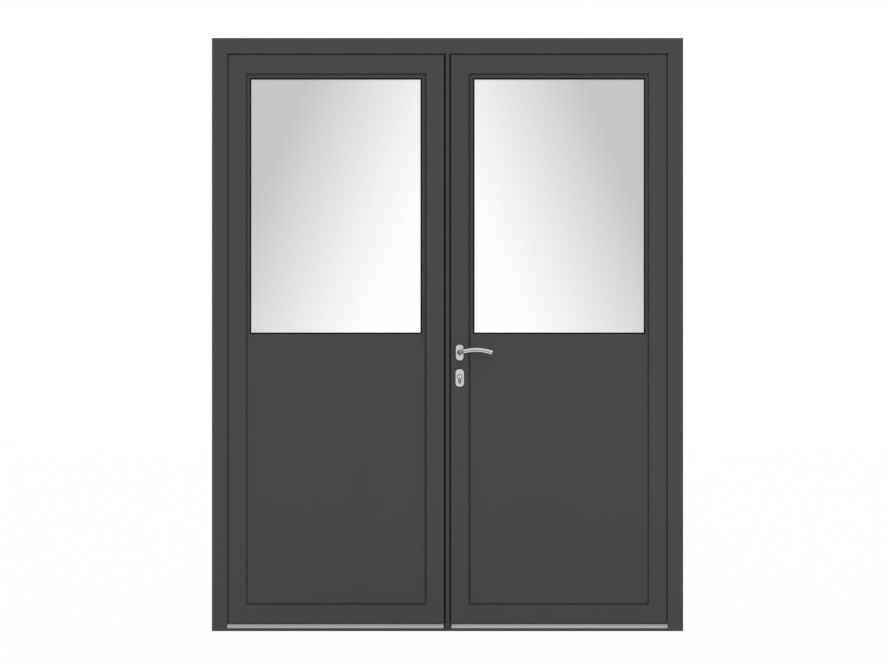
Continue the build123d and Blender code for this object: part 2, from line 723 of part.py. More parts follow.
def make_meeting_strip():
    """The strip on the left leaf's edge, its strike plate and the seal that closes the gap."""
    groove_floor = OUTSIDE + STRIP_GROOVE_DEPTH
    outline = [
        (-MEETING_EDGE, groove_floor),
        (-STRIP_HALF, groove_floor),
        (-STRIP_HALF, OUTSIDE),
        (strip_face(OUTSIDE), OUTSIDE),
        (strip_face(INSIDE), INSIDE),
        (-MEETING_EDGE, INSIDE),
    ]
    chamber_front, chamber_back = groove_floor + WALL, INSIDE - WALL
    chamber = [
        (-MEETING_EDGE + WALL, chamber_front),
        (strip_face(chamber_front) - WALL - STRIKE_THICKNESS, chamber_front),
        (strip_face(chamber_back) - WALL - STRIKE_THICKNESS, chamber_back),
        (-MEETING_EDGE + WALL, chamber_back),
    ]
    strip = prism_z(outline, FLANGE_BOTTOM, FLANGE_TOP) - prism_z(chamber, FLANGE_BOTTOM, FLANGE_TOP)
    front = (OUTSIDE, FLANGE_FRONT)
    across = (-MEETING_EDGE, MEETING_EDGE)
    strip -= block(across, front, (LEAF_TOP, FLANGE_TOP))
    strip -= block(across, front, (FLANGE_BOTTOM, LEAF_BOTTOM))
    strike = strike_plate_shape()
    bolt_plates = [flush_bolt_plate(height) for height in FLUSH_BOLT_MIDDLES]
    write("meeting_strip", strip - strike - bolt_plates)
    write("flush_bolts", *[flush_bolt(height) for height in FLUSH_BOLT_MIDDLES])
    write("strike_plate", strike - strike_pockets())

    seal_back = OUTSIDE + SEAL_THICKNESS
    seal = [
        (strip_face(OUTSIDE), OUTSIDE),
        (MEETING_EDGE - SEAL_CLEARANCE, OUTSIDE),
        (MEETING_EDGE - SEAL_CLEARANCE, seal_back),
        (strip_face(seal_back), seal_back),
    ]
    write("meeting_seal", prism_z(seal, LEAF_BOTTOM, LEAF_TOP))


def flush_bolt_plate(middle):
    return edge_plate(strip_face, FLUSH_BOLT_WIDTH, -FLUSH_BOLT_THICKNESS, middle, FLUSH_BOLT_HEIGHT)


def flush_bolt(middle):
    """A flush bolt's plate, with its lever lying shut in a slot, outlined by a fine gap."""
    half_slot = FLUSH_BOLT_SLOT_HEIGHT / 2

    def room(shrink):
        half = FLUSH_BOLT_SLOT_WIDTH / 2 - shrink
        return block(
            (-MEETING_EDGE, MEETING_EDGE),
            (BAR_MIDDLE - half, BAR_MIDDLE + half),
            (middle - half_slot + shrink, middle + half_slot),
        )
    plate = flush_bolt_plate(middle)
    return plate - (room(0) - room(FLUSH_BOLT_LEVER_CLEARANCE))


def bolt_pockets(grow, x):
    """Boxes round the latch and the dead bolt, from one place along X to another."""
    half = BOLT_THICKNESS / 2 + grow
    y = (BAR_MIDDLE - half, BAR_MIDDLE + half)
    heights = ((LEVER_HEIGHT, LATCH_HEIGHT), (CYLINDER_HEIGHT, DEAD_BOLT_HEIGHT))
    return [
        block(x, y, (middle - height / 2 - grow, middle + height / 2 + grow))
        for middle, height in heights
    ]


def strike_pockets():
    """The two pockets in the strike plate that take the latch and the dead bolt."""
    return bolt_pockets(2 * BOLT_CLEARANCE, (-MEETING_EDGE, MEETING_EDGE))


def make_lock():
    """Mortise lock, its bolts drawn back, the cylinder, rosettes and escutcheons."""
    body_front = leaf_edge_face(BAR_MIDDLE) + LOCK_PLATE_THICKNESS
    body = block(
        (body_front, MEETING_EDGE + LOCK_BODY_DEPTH),
        (BAR_MIDDLE - LOCK_BODY_THICKNESS / 2, BAR_MIDDLE + LOCK_BODY_THICKNESS / 2),
        (LOCK_BODY_MIDDLE - LOCK_BODY_HEIGHT / 2, LOCK_BODY_MIDDLE + LOCK_BODY_HEIGHT / 2),
    )
    neck = edge_plate(
        lambda y: leaf_edge_face(y) + LOCK_PLATE_THICKNESS / 2,
        LOCK_BODY_THICKNESS,
        LOCK_PLATE_THICKNESS,
        LOCK_BODY_MIDDLE,
        LOCK_BODY_HEIGHT,
    )
    through = (OUTSIDE, INSIDE)
    lock = lock_plate_shape() + neck + body
    lock -= along_y(Circle(SPINDLE_HOLE_RADIUS), LOCK_X, LEVER_HEIGHT, *through)
    lock -= cylinder_shape(CYLINDER_CLEARANCE, *through)
    bolt_front = leaf_edge_face(BAR_MIDDLE) + BOLT_DRAWN_BACK
    bolt_back = bolt_front + BOLT_LENGTH
    lock -= bolt_pockets(BOLT_CLEARANCE, (MEETING_EDGE - SPARE, bolt_back))
    write("mortise_lock", lock)
    bolts = bolt_pockets(0, (bolt_front, bolt_back))
    bolts = [bolt - cylinder_shape(CYLINDER_CLEARANCE, *through) for bolt in bolts]
    bolts = [bolt - along_y(Circle(SPINDLE_HOLE_RADIUS), LOCK_X, LEVER_HEIGHT, *through) for bolt in bolts]
    write("lock_bolts", *bolts)
    end = PLATE_THICKNESS + CYLINDER_PROUD
    cylinder = cylinder_shape(0, OUTSIDE - end, INSIDE + end)
    keyway = Rectangle(KEYWAY_WIDTH, KEYWAY_HEIGHT)
    for mouth, bottom in (
        (OUTSIDE - end, OUTSIDE - end + KEYWAY_DEPTH),
        (INSIDE + end, INSIDE + end - KEYWAY_DEPTH),
    ):
        cylinder -= along_y(keyway, LOCK_X, CYLINDER_HEIGHT, *sorted((mouth, bottom)))
    write("lock_cylinder", cylinder)

    rosettes, escutcheons = [], []
    for low, high in ((OUTSIDE - PLATE_THICKNESS, OUTSIDE), (INSIDE, INSIDE + PLATE_THICKNESS)):
        rosette = along_y(
            RectangleRounded(ROSETTE_WIDTH, ROSETTE_HEIGHT, PLATE_CORNER_RADIUS),
            LOCK_X,
            LEVER_HEIGHT,
            low,
            high,
        )
        rosette -= along_y(
            Circle(LEVER_NECK_RADIUS + LEVER_NECK_CLEARANCE), LOCK_X, LEVER_HEIGHT, low, high
        )
        rosettes.append(rosette)
        escutcheon = along_y(
            RectangleRounded(ESCUTCHEON_WIDTH, ESCUTCHEON_HEIGHT, PLATE_CORNER_RADIUS),
            LOCK_X,
            CYLINDER_HEIGHT - ESCUTCHEON_DROP,
            low,
            high,
        )
        escutcheons.append(escutcheon - cylinder_shape(CYLINDER_CLEARANCE, low, high))
    write("rosettes", *rosettes)
    write("escutcheons", *escutcheons)


def lever(face, outward):
    """An arched lever whose neck runs out from a rosette; outward is -1 outside and 1 inside."""
    grip_y = face + outward * LEVER_STAND_OFF
    start = (LOCK_X, grip_y, LEVER_HEIGHT)
    middle = (LOCK_X + LEVER_REACH / 2, grip_y, LEVER_HEIGHT + LEVER_ARCH)
    tip = (LOCK_X + LEVER_REACH, grip_y, LEVER_HEIGHT)
    path = ThreePointArc(start, middle, tip)
    bar = Rectangle(LEVER_GRIP_DEPTH, LEVER_GRIP_HEIGHT)
    bar = chamfer(bar.vertices(), LEVER_GRIP_BEVEL)
    section = Plane(origin=start, x_dir=(0, 1, 0), z_dir=path % 0) * bar
    neck_end = grip_y + outward * LEVER_GRIP_DEPTH / 2
    neck = along_y(Circle(LEVER_NECK_RADIUS), LOCK_X, LEVER_HEIGHT, *sorted((face, neck_end)))
    shape = neck + sweep(section, path=path)
    socket = sorted((face, face + outward * SPINDLE_INTO_LEVER))
    side = SPINDLE_SIDE + 2 * SPINDLE_CLEARANCE
    return shape - along_y(Rectangle(side, side), LOCK_X, LEVER_HEIGHT, *socket)


def make_levers():
    """The two levers and the square spindle that joins them through the lock."""
    write("outside_lever", lever(OUTSIDE, -1))
    write("inside_lever", lever(INSIDE, 1))
    ends = (OUTSIDE - SPINDLE_INTO_LEVER, INSIDE + SPINDLE_INTO_LEVER)
    write("lever_spindle", along_y(Rectangle(SPINDLE_SIDE, SPINDLE_SIDE), LOCK_X, LEVER_HEIGHT, *ends))


def make_hinges(side, hand):
    """Three barrel hinges on the inner face: plates and pins on the jamb, plates on the leaf."""
    jamb_parts, leaf_parts = [], []
    plate = (INSIDE, INSIDE + HINGE_PLATE)
    web = (INSIDE + HINGE_PLATE, HINGE_Y)
    jamb_edge = HALF_WIDTH - FRAME_TUBE
    half = HINGE_LENGTH / 2
    inner_half = HINGE_MIDDLE_KNUCKLE / 2
    bore = HINGE_PIN_RADIUS + HINGE_RUNNING_CLEARANCE

    def barrel(radius, low, high):
        return Pos(side * HINGE_X, HINGE_Y, low) * Cylinder(
            radius, high - low, align=(Align.CENTER, Align.CENTER, Align.MIN)
        )

    def span(near, far):
        return (side * near, side * far)

    for middle in HINGE_HEIGHTS:
        low, high = middle - half, middle + half
        inner_low, inner_high = middle - inner_half, middle + inner_half
        jamb = block(span(jamb_edge, jamb_edge + HINGE_PLATE_WIDTH), plate, (low, high))
        for z in ((low, inner_low - HINGE_KNUCKLE_GAP), (inner_high + HINGE_KNUCKLE_GAP, high)):
            jamb += barrel(HINGE_KNUCKLE_RADIUS, *z)
            jamb += block(span(HINGE_X, HINGE_X + HINGE_WEB), web, z)
        jamb += barrel(HINGE_PIN_RADIUS, low, high)
        jamb_parts.append(jamb)
        leaf = block(span(FLANGE_EDGE, FLANGE_EDGE - HINGE_PLATE_WIDTH), plate, (low, high))
        leaf += barrel(HINGE_KNUCKLE_RADIUS, inner_low, inner_high)
        leaf += block(span(HINGE_X, HINGE_X - HINGE_WEB), web, (inner_low, inner_high))
        leaf_parts.append(leaf - barrel(bore, low, high))
    write(f"{hand}_hinge_frame_plates", *jamb_parts)
    write(f"{hand}_hinge_leaf_plates", *leaf_parts)


os.makedirs("parts", exist_ok=True)
make_frame()
make_threshold()
for leaf_side, leaf_hand in ((-1, "left"), (1, "right")):
    make_leaf_members(leaf_side, leaf_hand)
    make_infill(leaf_side, leaf_hand)
    make_hinges(leaf_side, leaf_hand)
make_meeting_strip()
make_lock()
make_levers()
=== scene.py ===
"""Finishes, fittings and stage for a two-leaf half-glazed aluminium service door.

Lengths are in metres unless a name says mm. X runs to the right seen from outside, Y inwards, Z up.
"""
import json
from math import cos, hypot, pi, radians, sin, sqrt

import bmesh
import bpy
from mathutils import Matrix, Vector


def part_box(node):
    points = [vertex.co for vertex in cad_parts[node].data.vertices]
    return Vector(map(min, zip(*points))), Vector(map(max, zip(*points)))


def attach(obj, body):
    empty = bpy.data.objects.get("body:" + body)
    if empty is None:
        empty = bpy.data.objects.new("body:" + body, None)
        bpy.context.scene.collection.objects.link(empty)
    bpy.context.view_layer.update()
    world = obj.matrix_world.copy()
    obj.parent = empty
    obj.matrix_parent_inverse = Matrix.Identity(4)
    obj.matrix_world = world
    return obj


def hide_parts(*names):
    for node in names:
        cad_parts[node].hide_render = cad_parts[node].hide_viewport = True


bl_info = {
    "name": "Aluminium service door",
    "version": (1, 0, 0),
    "blender": (4, 5, 0),
    "location": "3D View > Sidebar > Door",
    "description": "Dresses a packed two-leaf service door with finishes, fittings and a studio",
    "category": "Object",
}

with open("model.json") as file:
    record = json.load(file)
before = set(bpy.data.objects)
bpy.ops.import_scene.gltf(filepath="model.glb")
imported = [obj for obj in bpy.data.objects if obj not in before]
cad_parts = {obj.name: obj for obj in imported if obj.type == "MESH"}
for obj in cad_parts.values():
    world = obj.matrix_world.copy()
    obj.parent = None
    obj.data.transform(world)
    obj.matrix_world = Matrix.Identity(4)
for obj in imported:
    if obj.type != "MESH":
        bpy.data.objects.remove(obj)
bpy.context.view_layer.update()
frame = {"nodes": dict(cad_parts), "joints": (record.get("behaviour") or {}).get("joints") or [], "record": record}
MM = 0.001
HANDS = {"left": -1, "right": 1}

BODY_OF = {
    node: body for body, nodes in frame["record"]["behaviour"]["bodies"].items() for node in nodes
}
SLOT_OF = {row["node"]: row["material_slot"] for row in frame["record"]["subparts"]}

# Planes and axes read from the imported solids
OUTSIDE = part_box("left_jamb")[0][1]
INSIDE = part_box("left_jamb")[1][1]
LEVER_AXIS = (Vector(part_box("lever_spindle")[0]) + Vector(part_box("lever_spindle")[1])) / 2
CYLINDER_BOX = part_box("lock_cylinder")
CYLINDER_RADIUS = (CYLINDER_BOX[1][0] - CYLINDER_BOX[0][0]) / 2
CYLINDER_Z = CYLINDER_BOX[1][2] - CYLINDER_RADIUS

# Angles that tell a flat joint in the facets from a real edge
FLAT_ANGLE = radians(0.5)
EDGE_ANGLE = radians(24)
SMOOTH_ANGLE = radians(38)
WELD = 1e-6

# Lips that the picture shows off their nominal place on the right leaf: axis, place and shift in mm
LIP_TOLERANCE = 0.02 * MM
PANEL_OPENING = ((0, 727.5, 2.9), (0, 77.8, -1.8), (2, 2023.5, -2.0))
PANEL_LIPS = PANEL_OPENING + ((0, 723.7, 2.9), (0, 84.3, -1.8), (2, 2019.7, -2.0))
WINDOW_OPENING = ((2, 2009.0, -3.0),)
WINDOW_LIPS = ((0, 97.6, 0.7), (2, 1082.0, 0.5), (2, 2003.0, -2.8))
INNER_LIPS = ((0, 712.0, 3.2),)
INNER_BEADS = ((0, 711.9, 3.6), (0, 712.0, 3.6), (0, 713.4, 3.6), (0, 713.5, 3.6))


def linear(hex_colour):
    """An sRGB hex colour as linear red, green and blue."""
    channels = [int(hex_colour[i:i + 2], 16) / 255 for i in (1, 3, 5)]
    return tuple(c / 12.92 if c <= 0.04045 else ((c + 0.055) / 1.055) ** 2.4 for c in channels)


def colour_property(name, description, hex_colour):
    return bpy.props.FloatVectorProperty(
        name=name, description=description, default=linear(hex_colour), subtype="COLOR", min=0, max=1
    )


def length_property(name, description, millimetres):
    return bpy.props.FloatProperty(
        name=name, description=description, default=millimetres * MM, unit="LENGTH", min=0, precision=5
    )


class DoorFinishes(bpy.types.PropertyGroup):
    """Colours of the door's materials."""
    coat: colour_property("Powder coat", "Anthracite coat on frame, leaves and hinges", "#3E3E40")
    sheet: colour_property("Panel sheet", "Anthracite coat on the infill panels", "#3E3E40")
    rubber: colour_property("Rubber", "Black seals round the glass and the leaves", "#1A1A1B")
    bloomed: colour_property("Bloomed rubber", "Weathered gaskets round the panels", "#262627")
    polyamide: colour_property("Polyamide", "Black insulating bars, threshold base and caps", "#272728")
    anodised: colour_property("Anodised aluminium", "Threshold rail", "#B1B1B3")
    mill: colour_property("Mill aluminium", "Spacer between the panes", "#B7B7B9")
    glass: colour_property("Glass", "Tint of the panes", "#FFFEFF")
    stainless: colour_property("Stainless steel", "Handle plates and lock front", "#D2D2D3")
    lever: colour_property("Ground steel", "Grip of the levers", "#D4D4D6")
    # Darker grey of the levers' neck and bend: painted shade on a blasted finish
    blasted_shade: colour_property("Blasted steel", "Neck and bend of the levers", "#A4A4A3")
    # Dark grey of the cylinder's body: painted shade
    nickel: colour_property("Nickel", "Body of the lock cylinder", "#8C8B89")
    # Bright nickel of the cylinder's plugs: a painted highlight on a polished finish
    polished_highlight: colour_property("Polished nickel", "Plugs of the lock cylinder", "#E4E4E2")
    zinc: colour_property("Zinc", "Screws and spindle", "#CACBCE")


class DoorSizes(bpy.types.PropertyGroup):
    """Sizes of the softened edges and small fittings."""
    extrusion_edge: length_property("Extrusion edge", "Rounding of the extrusions' corners", 0.5)
    bead_edge: length_property("Bead edge", "Rounding of the glazing beads", 1.4)
    panel_edge: length_property("Panel edge", "Rounding where the panel skin is folded", 0.4)
    seal_edge: length_property("Seal edge", "Rounding of the rubber seals", 0.9)
    threshold_edge: length_property("Threshold edge", "Rounding of the threshold rail", 0.4)
    hinge_edge: length_property("Hinge edge", "Rounding of hinge plates and knuckles", 0.5)
    plate_edge: length_property("Plate edge", "Rounding of lock, strike and bolt plates", 0.25)
    handle_plate_edge: length_property("Handle plate edge", "Rounding of rosettes and escutcheons", 2.2)
    grip_depth: length_property("Grip depth", "Thickness of the lever's grip", 11.0)
    grip_height: length_property("Grip height", "Height of the lever's grip", 15.5)
    grip_arch: length_property("Grip arch", "Rise of the lever's arch", 9.9)
    groove_width: length_property("Groove width", "Width of the groove along the grip", 3.4)
    groove_depth: length_property("Groove depth", "Depth of the groove along the grip", 3.6)


class DoorStage(bpy.types.PropertyGroup):
    """Camera, lamps and surroundings."""
    lens: bpy.props.FloatProperty(
        name="Lens", description="Focal length of the camera", default=100.0, subtype="DISTANCE_CAMERA"
    )
    picture_width: length_property("Picture width", "Width seen at the door's outer face", 3229.5)
    camera_x: length_property("Camera left", "How far the camera stands left of the middle", 7.3)
    camera_z: length_property("Camera height", "Height of the camera", 1077.0)
    lamp_share: bpy.props.FloatProperty(
        name="Lamps", description="Light that the bank of lamps gives each side of the door",
        default=0.5, min=0
    )
    surroundings: bpy.props.FloatProperty(
        name="Surroundings", description="Brightness of the studio round the door", default=0.5, min=0
    )
    floor: colour_property("Floor", "Pale studio floor", "#F4F4F4")
    ceiling: colour_property("Ceiling", "Studio ceiling that metal mirrors", "#D8D8D8")
    glow_edge: colour_property("Glow edge", "Studio seen through the glass away from its glow", "#C4C4C1")


def add_node(tree, kind, inputs=None, **settings):
    """Add a node, set its properties, and fill or link the inputs that are given."""
    node = tree.nodes.new(kind)
    for key, value in settings.items():
        setattr(node, key, value)
    for socket, value in (inputs or {}).items():
        if isinstance(value, bpy.types.NodeSocket):
            tree.links.new(value, node.inputs[socket])
        else:
            node.inputs[socket].default_value = value
    return node


def opaque(colour):
    return (*colour, 1.0)


# Values that noise mostly keeps between, and layers of finer noise in the tone and in the grain
NOISE_LOW, NOISE_HIGH = 0.3, 0.7
TONE_DETAIL, GRAIN_DETAIL = 3, 2


def patterned(name, colour, tone, grain, roughness, relief_mm, **shader):
    """A material whose tone, gloss and relief follow two patterns of real size.

    tone is its size in mm along X, Y, Z and the share by which the colour varies; grain is its size
    in mm along X, Y, Z; roughness is its lowest and highest value; the rest goes to the shader's sockets.
    """
    material = bpy.data.materials.new(name)
    material.use_nodes = True
    tree = material.node_tree
    tree.nodes.clear()
    spot = add_node(tree, "ShaderNodeTexCoord").outputs["Object"]
    tone_size, spread = tone
    patterns = []
    for size_mm, detail in ((tone_size, TONE_DETAIL), (grain, GRAIN_DETAIL)):
        scale = [1 / (length * MM) for length in size_mm]
        stretched = add_node(tree, "ShaderNodeMapping", {"Vector": spot, "Scale": scale}).outputs[0]
        patterns.append(add_node(
            tree, "ShaderNodeTexNoise", {"Vector": stretched, "Scale": 1.0, "Detail": detail}
        ).outputs["Fac"])
    broad, fine = patterns
    noise_range = {"From Min": NOISE_LOW, "From Max": NOISE_HIGH}
    value = add_node(tree, "ShaderNodeMapRange", {
        "Value": broad, **noise_range, "To Min": 1 - spread, "To Max": 1 + spread,
    }).outputs[0]
    base = add_node(tree, "ShaderNodeHueSaturation", {"Value": value, "Color": opaque(colour)}).outputs[0]
    gloss = add_node(tree, "ShaderNodeMapRange", {
        "Value": fine, **noise_range, "To Min": roughness[0], "To Max": roughness[1],
    }).outputs[0]
    relief = add_node(
        tree, "ShaderNodeBump", {"Height": fine, "Distance": relief_mm * MM, "Strength": 1.0}
    ).outputs[0]
    inputs = {"Base Color": base, "Roughness": gloss, "Normal": relief, **shader}
    surface = add_node(tree, "ShaderNodeBsdfPrincipled", inputs)
    add_node(tree, "ShaderNodeOutputMaterial", {"Surface": surface.outputs[0]})
    return material


def make_finishes(colours):
    """Every material of the door, by the record's slot or by a name of its own."""
    # Polyester powder coat, baked matt: faint orange peel about 1.5 mm across, very even in tone
    coat = patterned(
        "Polyester powder coat on aluminium", colours.coat, ((140, 140, 140), 0.02),
        (1.5, 1.5, 1.5), (0.5, 0.6), 0.012, **{"Specular IOR Level": 0.16}
    )
    # Powder-coated sheet: smoother than the extrusions, with a broader peel and a slow drift in tone
    sheet = patterned(
        "Powder-coated aluminium sheet", colours.sheet, ((260, 260, 260), 0.02),
        (2.5, 2.5, 2.5), (0.48, 0.56), 0.01, **{"Specular IOR Level": 0.16}
    )
    # Extruded EPDM: dull deep black, its fine grain drawn coarse enough to show
    rubber = patterned(
        "Extruded EPDM rubber", colours.rubber, ((40, 40, 40), 0.12),
        (0.8, 0.8, 0.8), (0.75, 0.9), 0.03, **{"Specular IOR Level": 0.1}
    )
    # Older EPDM round the panels: the same rubber under a grey bloom that catches more light
    bloomed = patterned(
        "Bloomed EPDM rubber", colours.bloomed, ((40, 40, 40), 0.12),
        (0.8, 0.8, 0.8), (0.7, 0.85), 0.03, **{"Specular IOR Level": 0.3}
    )
    # Glass-filled polyamide: black, with short paler fibres drawn coarse enough to show
    polyamide = patterned(
        "Glass-filled polyamide", colours.polyamide, ((1.2, 1.2, 6), 0.15),
        (0.6, 0.6, 3), (0.55, 0.7), 0.03, IOR=1.53
    )
    # Natural anodised extrusion: satin grey metal with straight die lines along its length
    anodised = patterned(
        "Natural anodised aluminium", colours.anodised, ((600, 6, 6), 0.05),
        (300, 0.7, 0.7), (0.34, 0.46), 0.006, Metallic=1.0
    )
    # Mill finish: brighter bare metal with rolling marks
    mill = patterned(
        "Mill-finish aluminium", colours.mill, ((80, 80, 80), 0.06),
        (0.8, 0.8, 40), (0.3, 0.42), 0.005, Metallic=1.0
    )
    # Stainless plate brushed upright: bright hairlines along Z, drawn coarse enough to show
    brushed = patterned(
        "Brushed stainless steel plate", colours.stainless, ((0.9, 0.9, 60), 0.06),
        (0.35, 0.35, 30), (0.24, 0.36), 0.004, Metallic=1.0
    )
    # Lever satin-ground along its grip: hairlines along X, drawn coarse enough to show
    satin = patterned(
        "Satin-ground stainless steel", colours.lever, ((60, 0.9, 0.9), 0.06),
        (30, 0.35, 0.35), (0.2, 0.32), 0.004, Metallic=1.0
    )
    # Bead-blasted bend of the lever: duller than the ground grip, with a fine even grain, and darker than it as
    # painted shade
    blasted_shade = patterned(
        "Bead-blasted stainless steel darkened as painted shade", colours.blasted_shade, ((3, 3, 3), 0.05),
        (0.4, 0.4, 0.4), (0.42, 0.52), 0.01, Metallic=1.0
    )
    # Nickel-plated brass, lightly blasted; its dark warm grey is painted shade on the cylinder's body
    nickel = patterned(
        "Satin nickel plate on brass darkened as painted shade", colours.nickel, ((5, 5, 5), 0.05),
        (0.4, 0.4, 0.4), (0.3, 0.4), 0.004, Metallic=1.0
    )
    # Polished plug of the cylinder: nickel with a faint even grain, its bright colour a painted highlight
    polished_highlight = patterned(
        "Polished nickel plate on brass", colours.polished_highlight, ((3, 3, 3), 0.04),
        (0.5, 0.5, 0.5), (0.16, 0.24), 0.003, Metallic=1.0
    )
    # Blue-passivated zinc: cool grey, slightly cloudy
    zinc = patterned(
        "Blue-passivated zinc plate on steel", colours.zinc, ((4, 4, 4), 0.1),
        (0.5, 0.5, 0.5), (0.3, 0.45), 0.006, Metallic=1.0
    )
    return {
        "anthracite_coat": coat, "panel_coat": sheet, "black_rubber": rubber, "black_polyamide": polyamide,
        "mill_aluminium": anodised, "spacer_aluminium": mill, "satin_stainless": brushed,
        "lever_grip": satin, "lever_bend_shade": blasted_shade, "satin_nickel": nickel, "cylinder_plug_highlight": polished_highlight,
        "plated_steel": zinc, "bloomed_rubber": bloomed,
        "float_glass": make_glass(colours.glass),
    }


def make_glass(colour):
    """Clear float glass: colourless, with sharp pale reflections."""
    material = bpy.data.materials.new("Clear float glass")
    material.use_nodes = True
    tree = material.node_tree
    tree.nodes.clear()
    surface = add_node(tree, "ShaderNodeBsdfPrincipled", {
        "Base Color": opaque(colour), "Roughness": 0.0, "IOR": 1.52, "Transmission Weight": 1.0,
    })
    add_node(tree, "ShaderNodeOutputMaterial", {"Surface": surface.outputs[0]})
    return material


FINISHES = {}


def shaded(mesh):
    """Smooth over gentle bends and keep real edges crisp."""
    mesh.polygons.foreach_set("use_smooth", [True] * len(mesh.polygons))
    mesh.set_sharp_from_angle(angle=SMOOTH_ANGLE)


def place(name, shape, body, slot, replaced=(), finishes=()):
    """Turn a finished bmesh into a piece that rides on a body.

    Its finish is its slot's unless others are given.
    """
    mesh = bpy.data.meshes.new(name)
    shape.to_mesh(mesh)
    shape.free()
    shaded(mesh)
    for finish in finishes or (slot,):
        mesh.materials.append(FINISHES[finish])
    piece = bpy.data.objects.new(name, mesh)
    bpy.context.scene.collection.objects.link(piece)
    piece.modifiers.new("Even shading", "WEIGHTED_NORMAL").keep_sharp = True
    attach(piece, body)
    if replaced:
        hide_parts(*replaced)
    return piece


def shift_lips(shape, half, lips, side):
    """Move the corners at each lip's place on the outer (-1) or inner (1) half.

    Places are those of the right leaf; side is -1 on the left leaf, which mirrors it.
    """
    for axis, at, by in lips:
        turn = side if axis == 0 else 1
        for corner in shape.verts:
            if corner.co.y * half > 0 and abs(corner.co[axis] - turn * at * MM) < LIP_TOLERANCE:
                corner.co[axis] += turn * by * MM


def softened(node, radius, segments=2, finishes=(), outer=(), inner=()):
    """Stand a copy with softened edges and shifted outer and inner lips in for a CAD node."""
    shape = bmesh.new()
    shape.from_mesh(frame["nodes"][node].data)
    bmesh.ops.remove_doubles(shape, verts=shape.verts, dist=WELD)
    side = HANDS.get(node.split("_")[0], 1)
    shift_lips(shape, -1, outer, side)
    shift_lips(shape, 1, inner, side)
    bmesh.ops.dissolve_limit(shape, angle_limit=FLAT_ANGLE, verts=shape.verts, edges=shape.edges)
    edges = [
        edge for edge in shape.edges
        if edge.is_manifold and edge.is_convex and edge.calc_face_angle() > EDGE_ANGLE
    ]
    bmesh.ops.bevel(
        shape, geom=edges, offset=radius, offset_type="OFFSET", segments=segments, profile=0.5,
        affect="EDGES", clamp_overlap=True
    )
    return place(f"{node}_finished", shape, BODY_OF[node], SLOT_OF[node], (node,), finishes)


def loft(shape, loops, closed=False):
    """Skin rings of equal length one after the other; ends are capped, or joined when closed.

    Gives back the faces of each band, in order.
    """
    rings = [[shape.verts.new(point) for point in loop] for loop in loops]
    count = len(rings[0])
    pairs = list(zip(rings, rings[1:])) + ([(rings[-1], rings[0])] if closed else [])
    bands = []
    for low, high in pairs:
        after = [(i + 1) % count for i in range(count)]
        bands.append([shape.faces.new((low[i], low[j], high[j], high[i])) for i, j in enumerate(after)])
    if not closed:
        shape.faces.new(rings[0][::-1])
        shape.faces.new(rings[-1])
    return bands


def outward(shape):
    """Turn all faces outwards."""
    bmesh.ops.recalc_face_normals(shape, faces=shape.faces)
    return shape


def around(radius_at, angles, grow=0.0):
    """Points on an outline given by its distance from the middle at each angle."""
    return [((radius_at(a) + grow) * cos(a), (radius_at(a) + grow) * sin(a)) for a in angles]


def even_angles(count):
    return [2 * pi * i / count for i in range(count)]


def circle(radius):
    return lambda angle: radius


# Halvings in the search for a point on an outline
HALVINGS = 40


def rounded_rectangle(half_width, half_height, corner, drop=0.0):
    """Distance to a rounded rectangle's outline from a point that lies drop above its middle."""
    def inside(x, y):
        dx = max(abs(x) - (half_width - corner), 0.0)
        dy = max(abs(y + drop) - (half_height - corner), 0.0)
        return hypot(dx, dy) <= corner and abs(x) <= half_width and abs(y + drop) <= half_height

    def distance(angle):
        low, high = 0.0, 2 * (half_width + half_height + drop)
        for _ in range(HALVINGS):
            middle = (low + high) / 2
            if inside(middle * cos(angle), middle * sin(angle)):
                low = middle
            else:
                high = middle
        return low
    return distance


def pear(radius, tail_half, tail_drop):
    """Distance to the outline of a profile cylinder from the middle of its barrel."""
    end = tail_drop - tail_half

    def distance(angle):
        x, y = abs(cos(angle)), -sin(angle)
        if y <= 0 or x * radius >= tail_half:
            return radius
        side = tail_half / x if x > WELD else 2 * tail_drop
        if side * y > end:
            side = end * y + sqrt(max((end * y) ** 2 - end ** 2 + tail_half ** 2, 0.0))
        return max(radius, side)
    return distance


def cross(arm, half_width):
    """Distance to the outline of a cross recess."""
    def distance(angle):
        x, y = max(abs(cos(angle)), WELD), max(abs(sin(angle)), WELD)
        return max(min(arm / x, half_width / y), min(half_width / x, arm / y))
    return distance


# Screw heads: points round them, usual stand, and rings as shares of the radius and of the stand
SCREW_POINTS = 40
SCREW_STAND = 0.3 * MM
SCREW_HEAD = ((1.0, -1.0), (1.0, 0.35), (0.93, 0.8), (0.75, 1.0))

# Their cross recess: arm and half width as shares of the radius, and lift as a share of the stand
SCREW_RECESS = ((0.58, 0.14, 1.0), (0.42, 0.1, -2.0))


def screws(name, places, body, radius, stand=SCREW_STAND):
    """Countersunk screws with a cross recess, each at (point, outward direction)."""
    shape = bmesh.new()
    angles = even_angles(SCREW_POINTS)
    for point, direction in places:
        direction = Vector(direction).normalized()
        right = direction.orthogonal().normalized()
        up = direction.cross(right)

        def ring(radius_at, lift):
            return [
                Vector(point) + right * u + up * v + direction * (lift * stand)
                for u, v in around(radius_at, angles)
            ]
        loops = [ring(circle(share * radius), lift) for share, lift in SCREW_HEAD]
        loops += [ring(cross(arm * radius, half * radius), lift) for arm, half, lift in SCREW_RECESS]
        loft(shape, loops)
    return place(name, outward(shape), body, "plated_steel")


def upright(shape, outline, ends):
    """Stand a prism between two heights on an outline in mm along X and Y."""
    loft(shape, [[(x * MM, y * MM, z) for x, y in outline] for z in ends])


def crosswise(shape, outline, level, run):
    """Lay a prism along X on an outline in mm along Y and up from a level."""
    loft(shape, [[(x, y * MM, level + z * MM) for y, z in outline] for x in run])


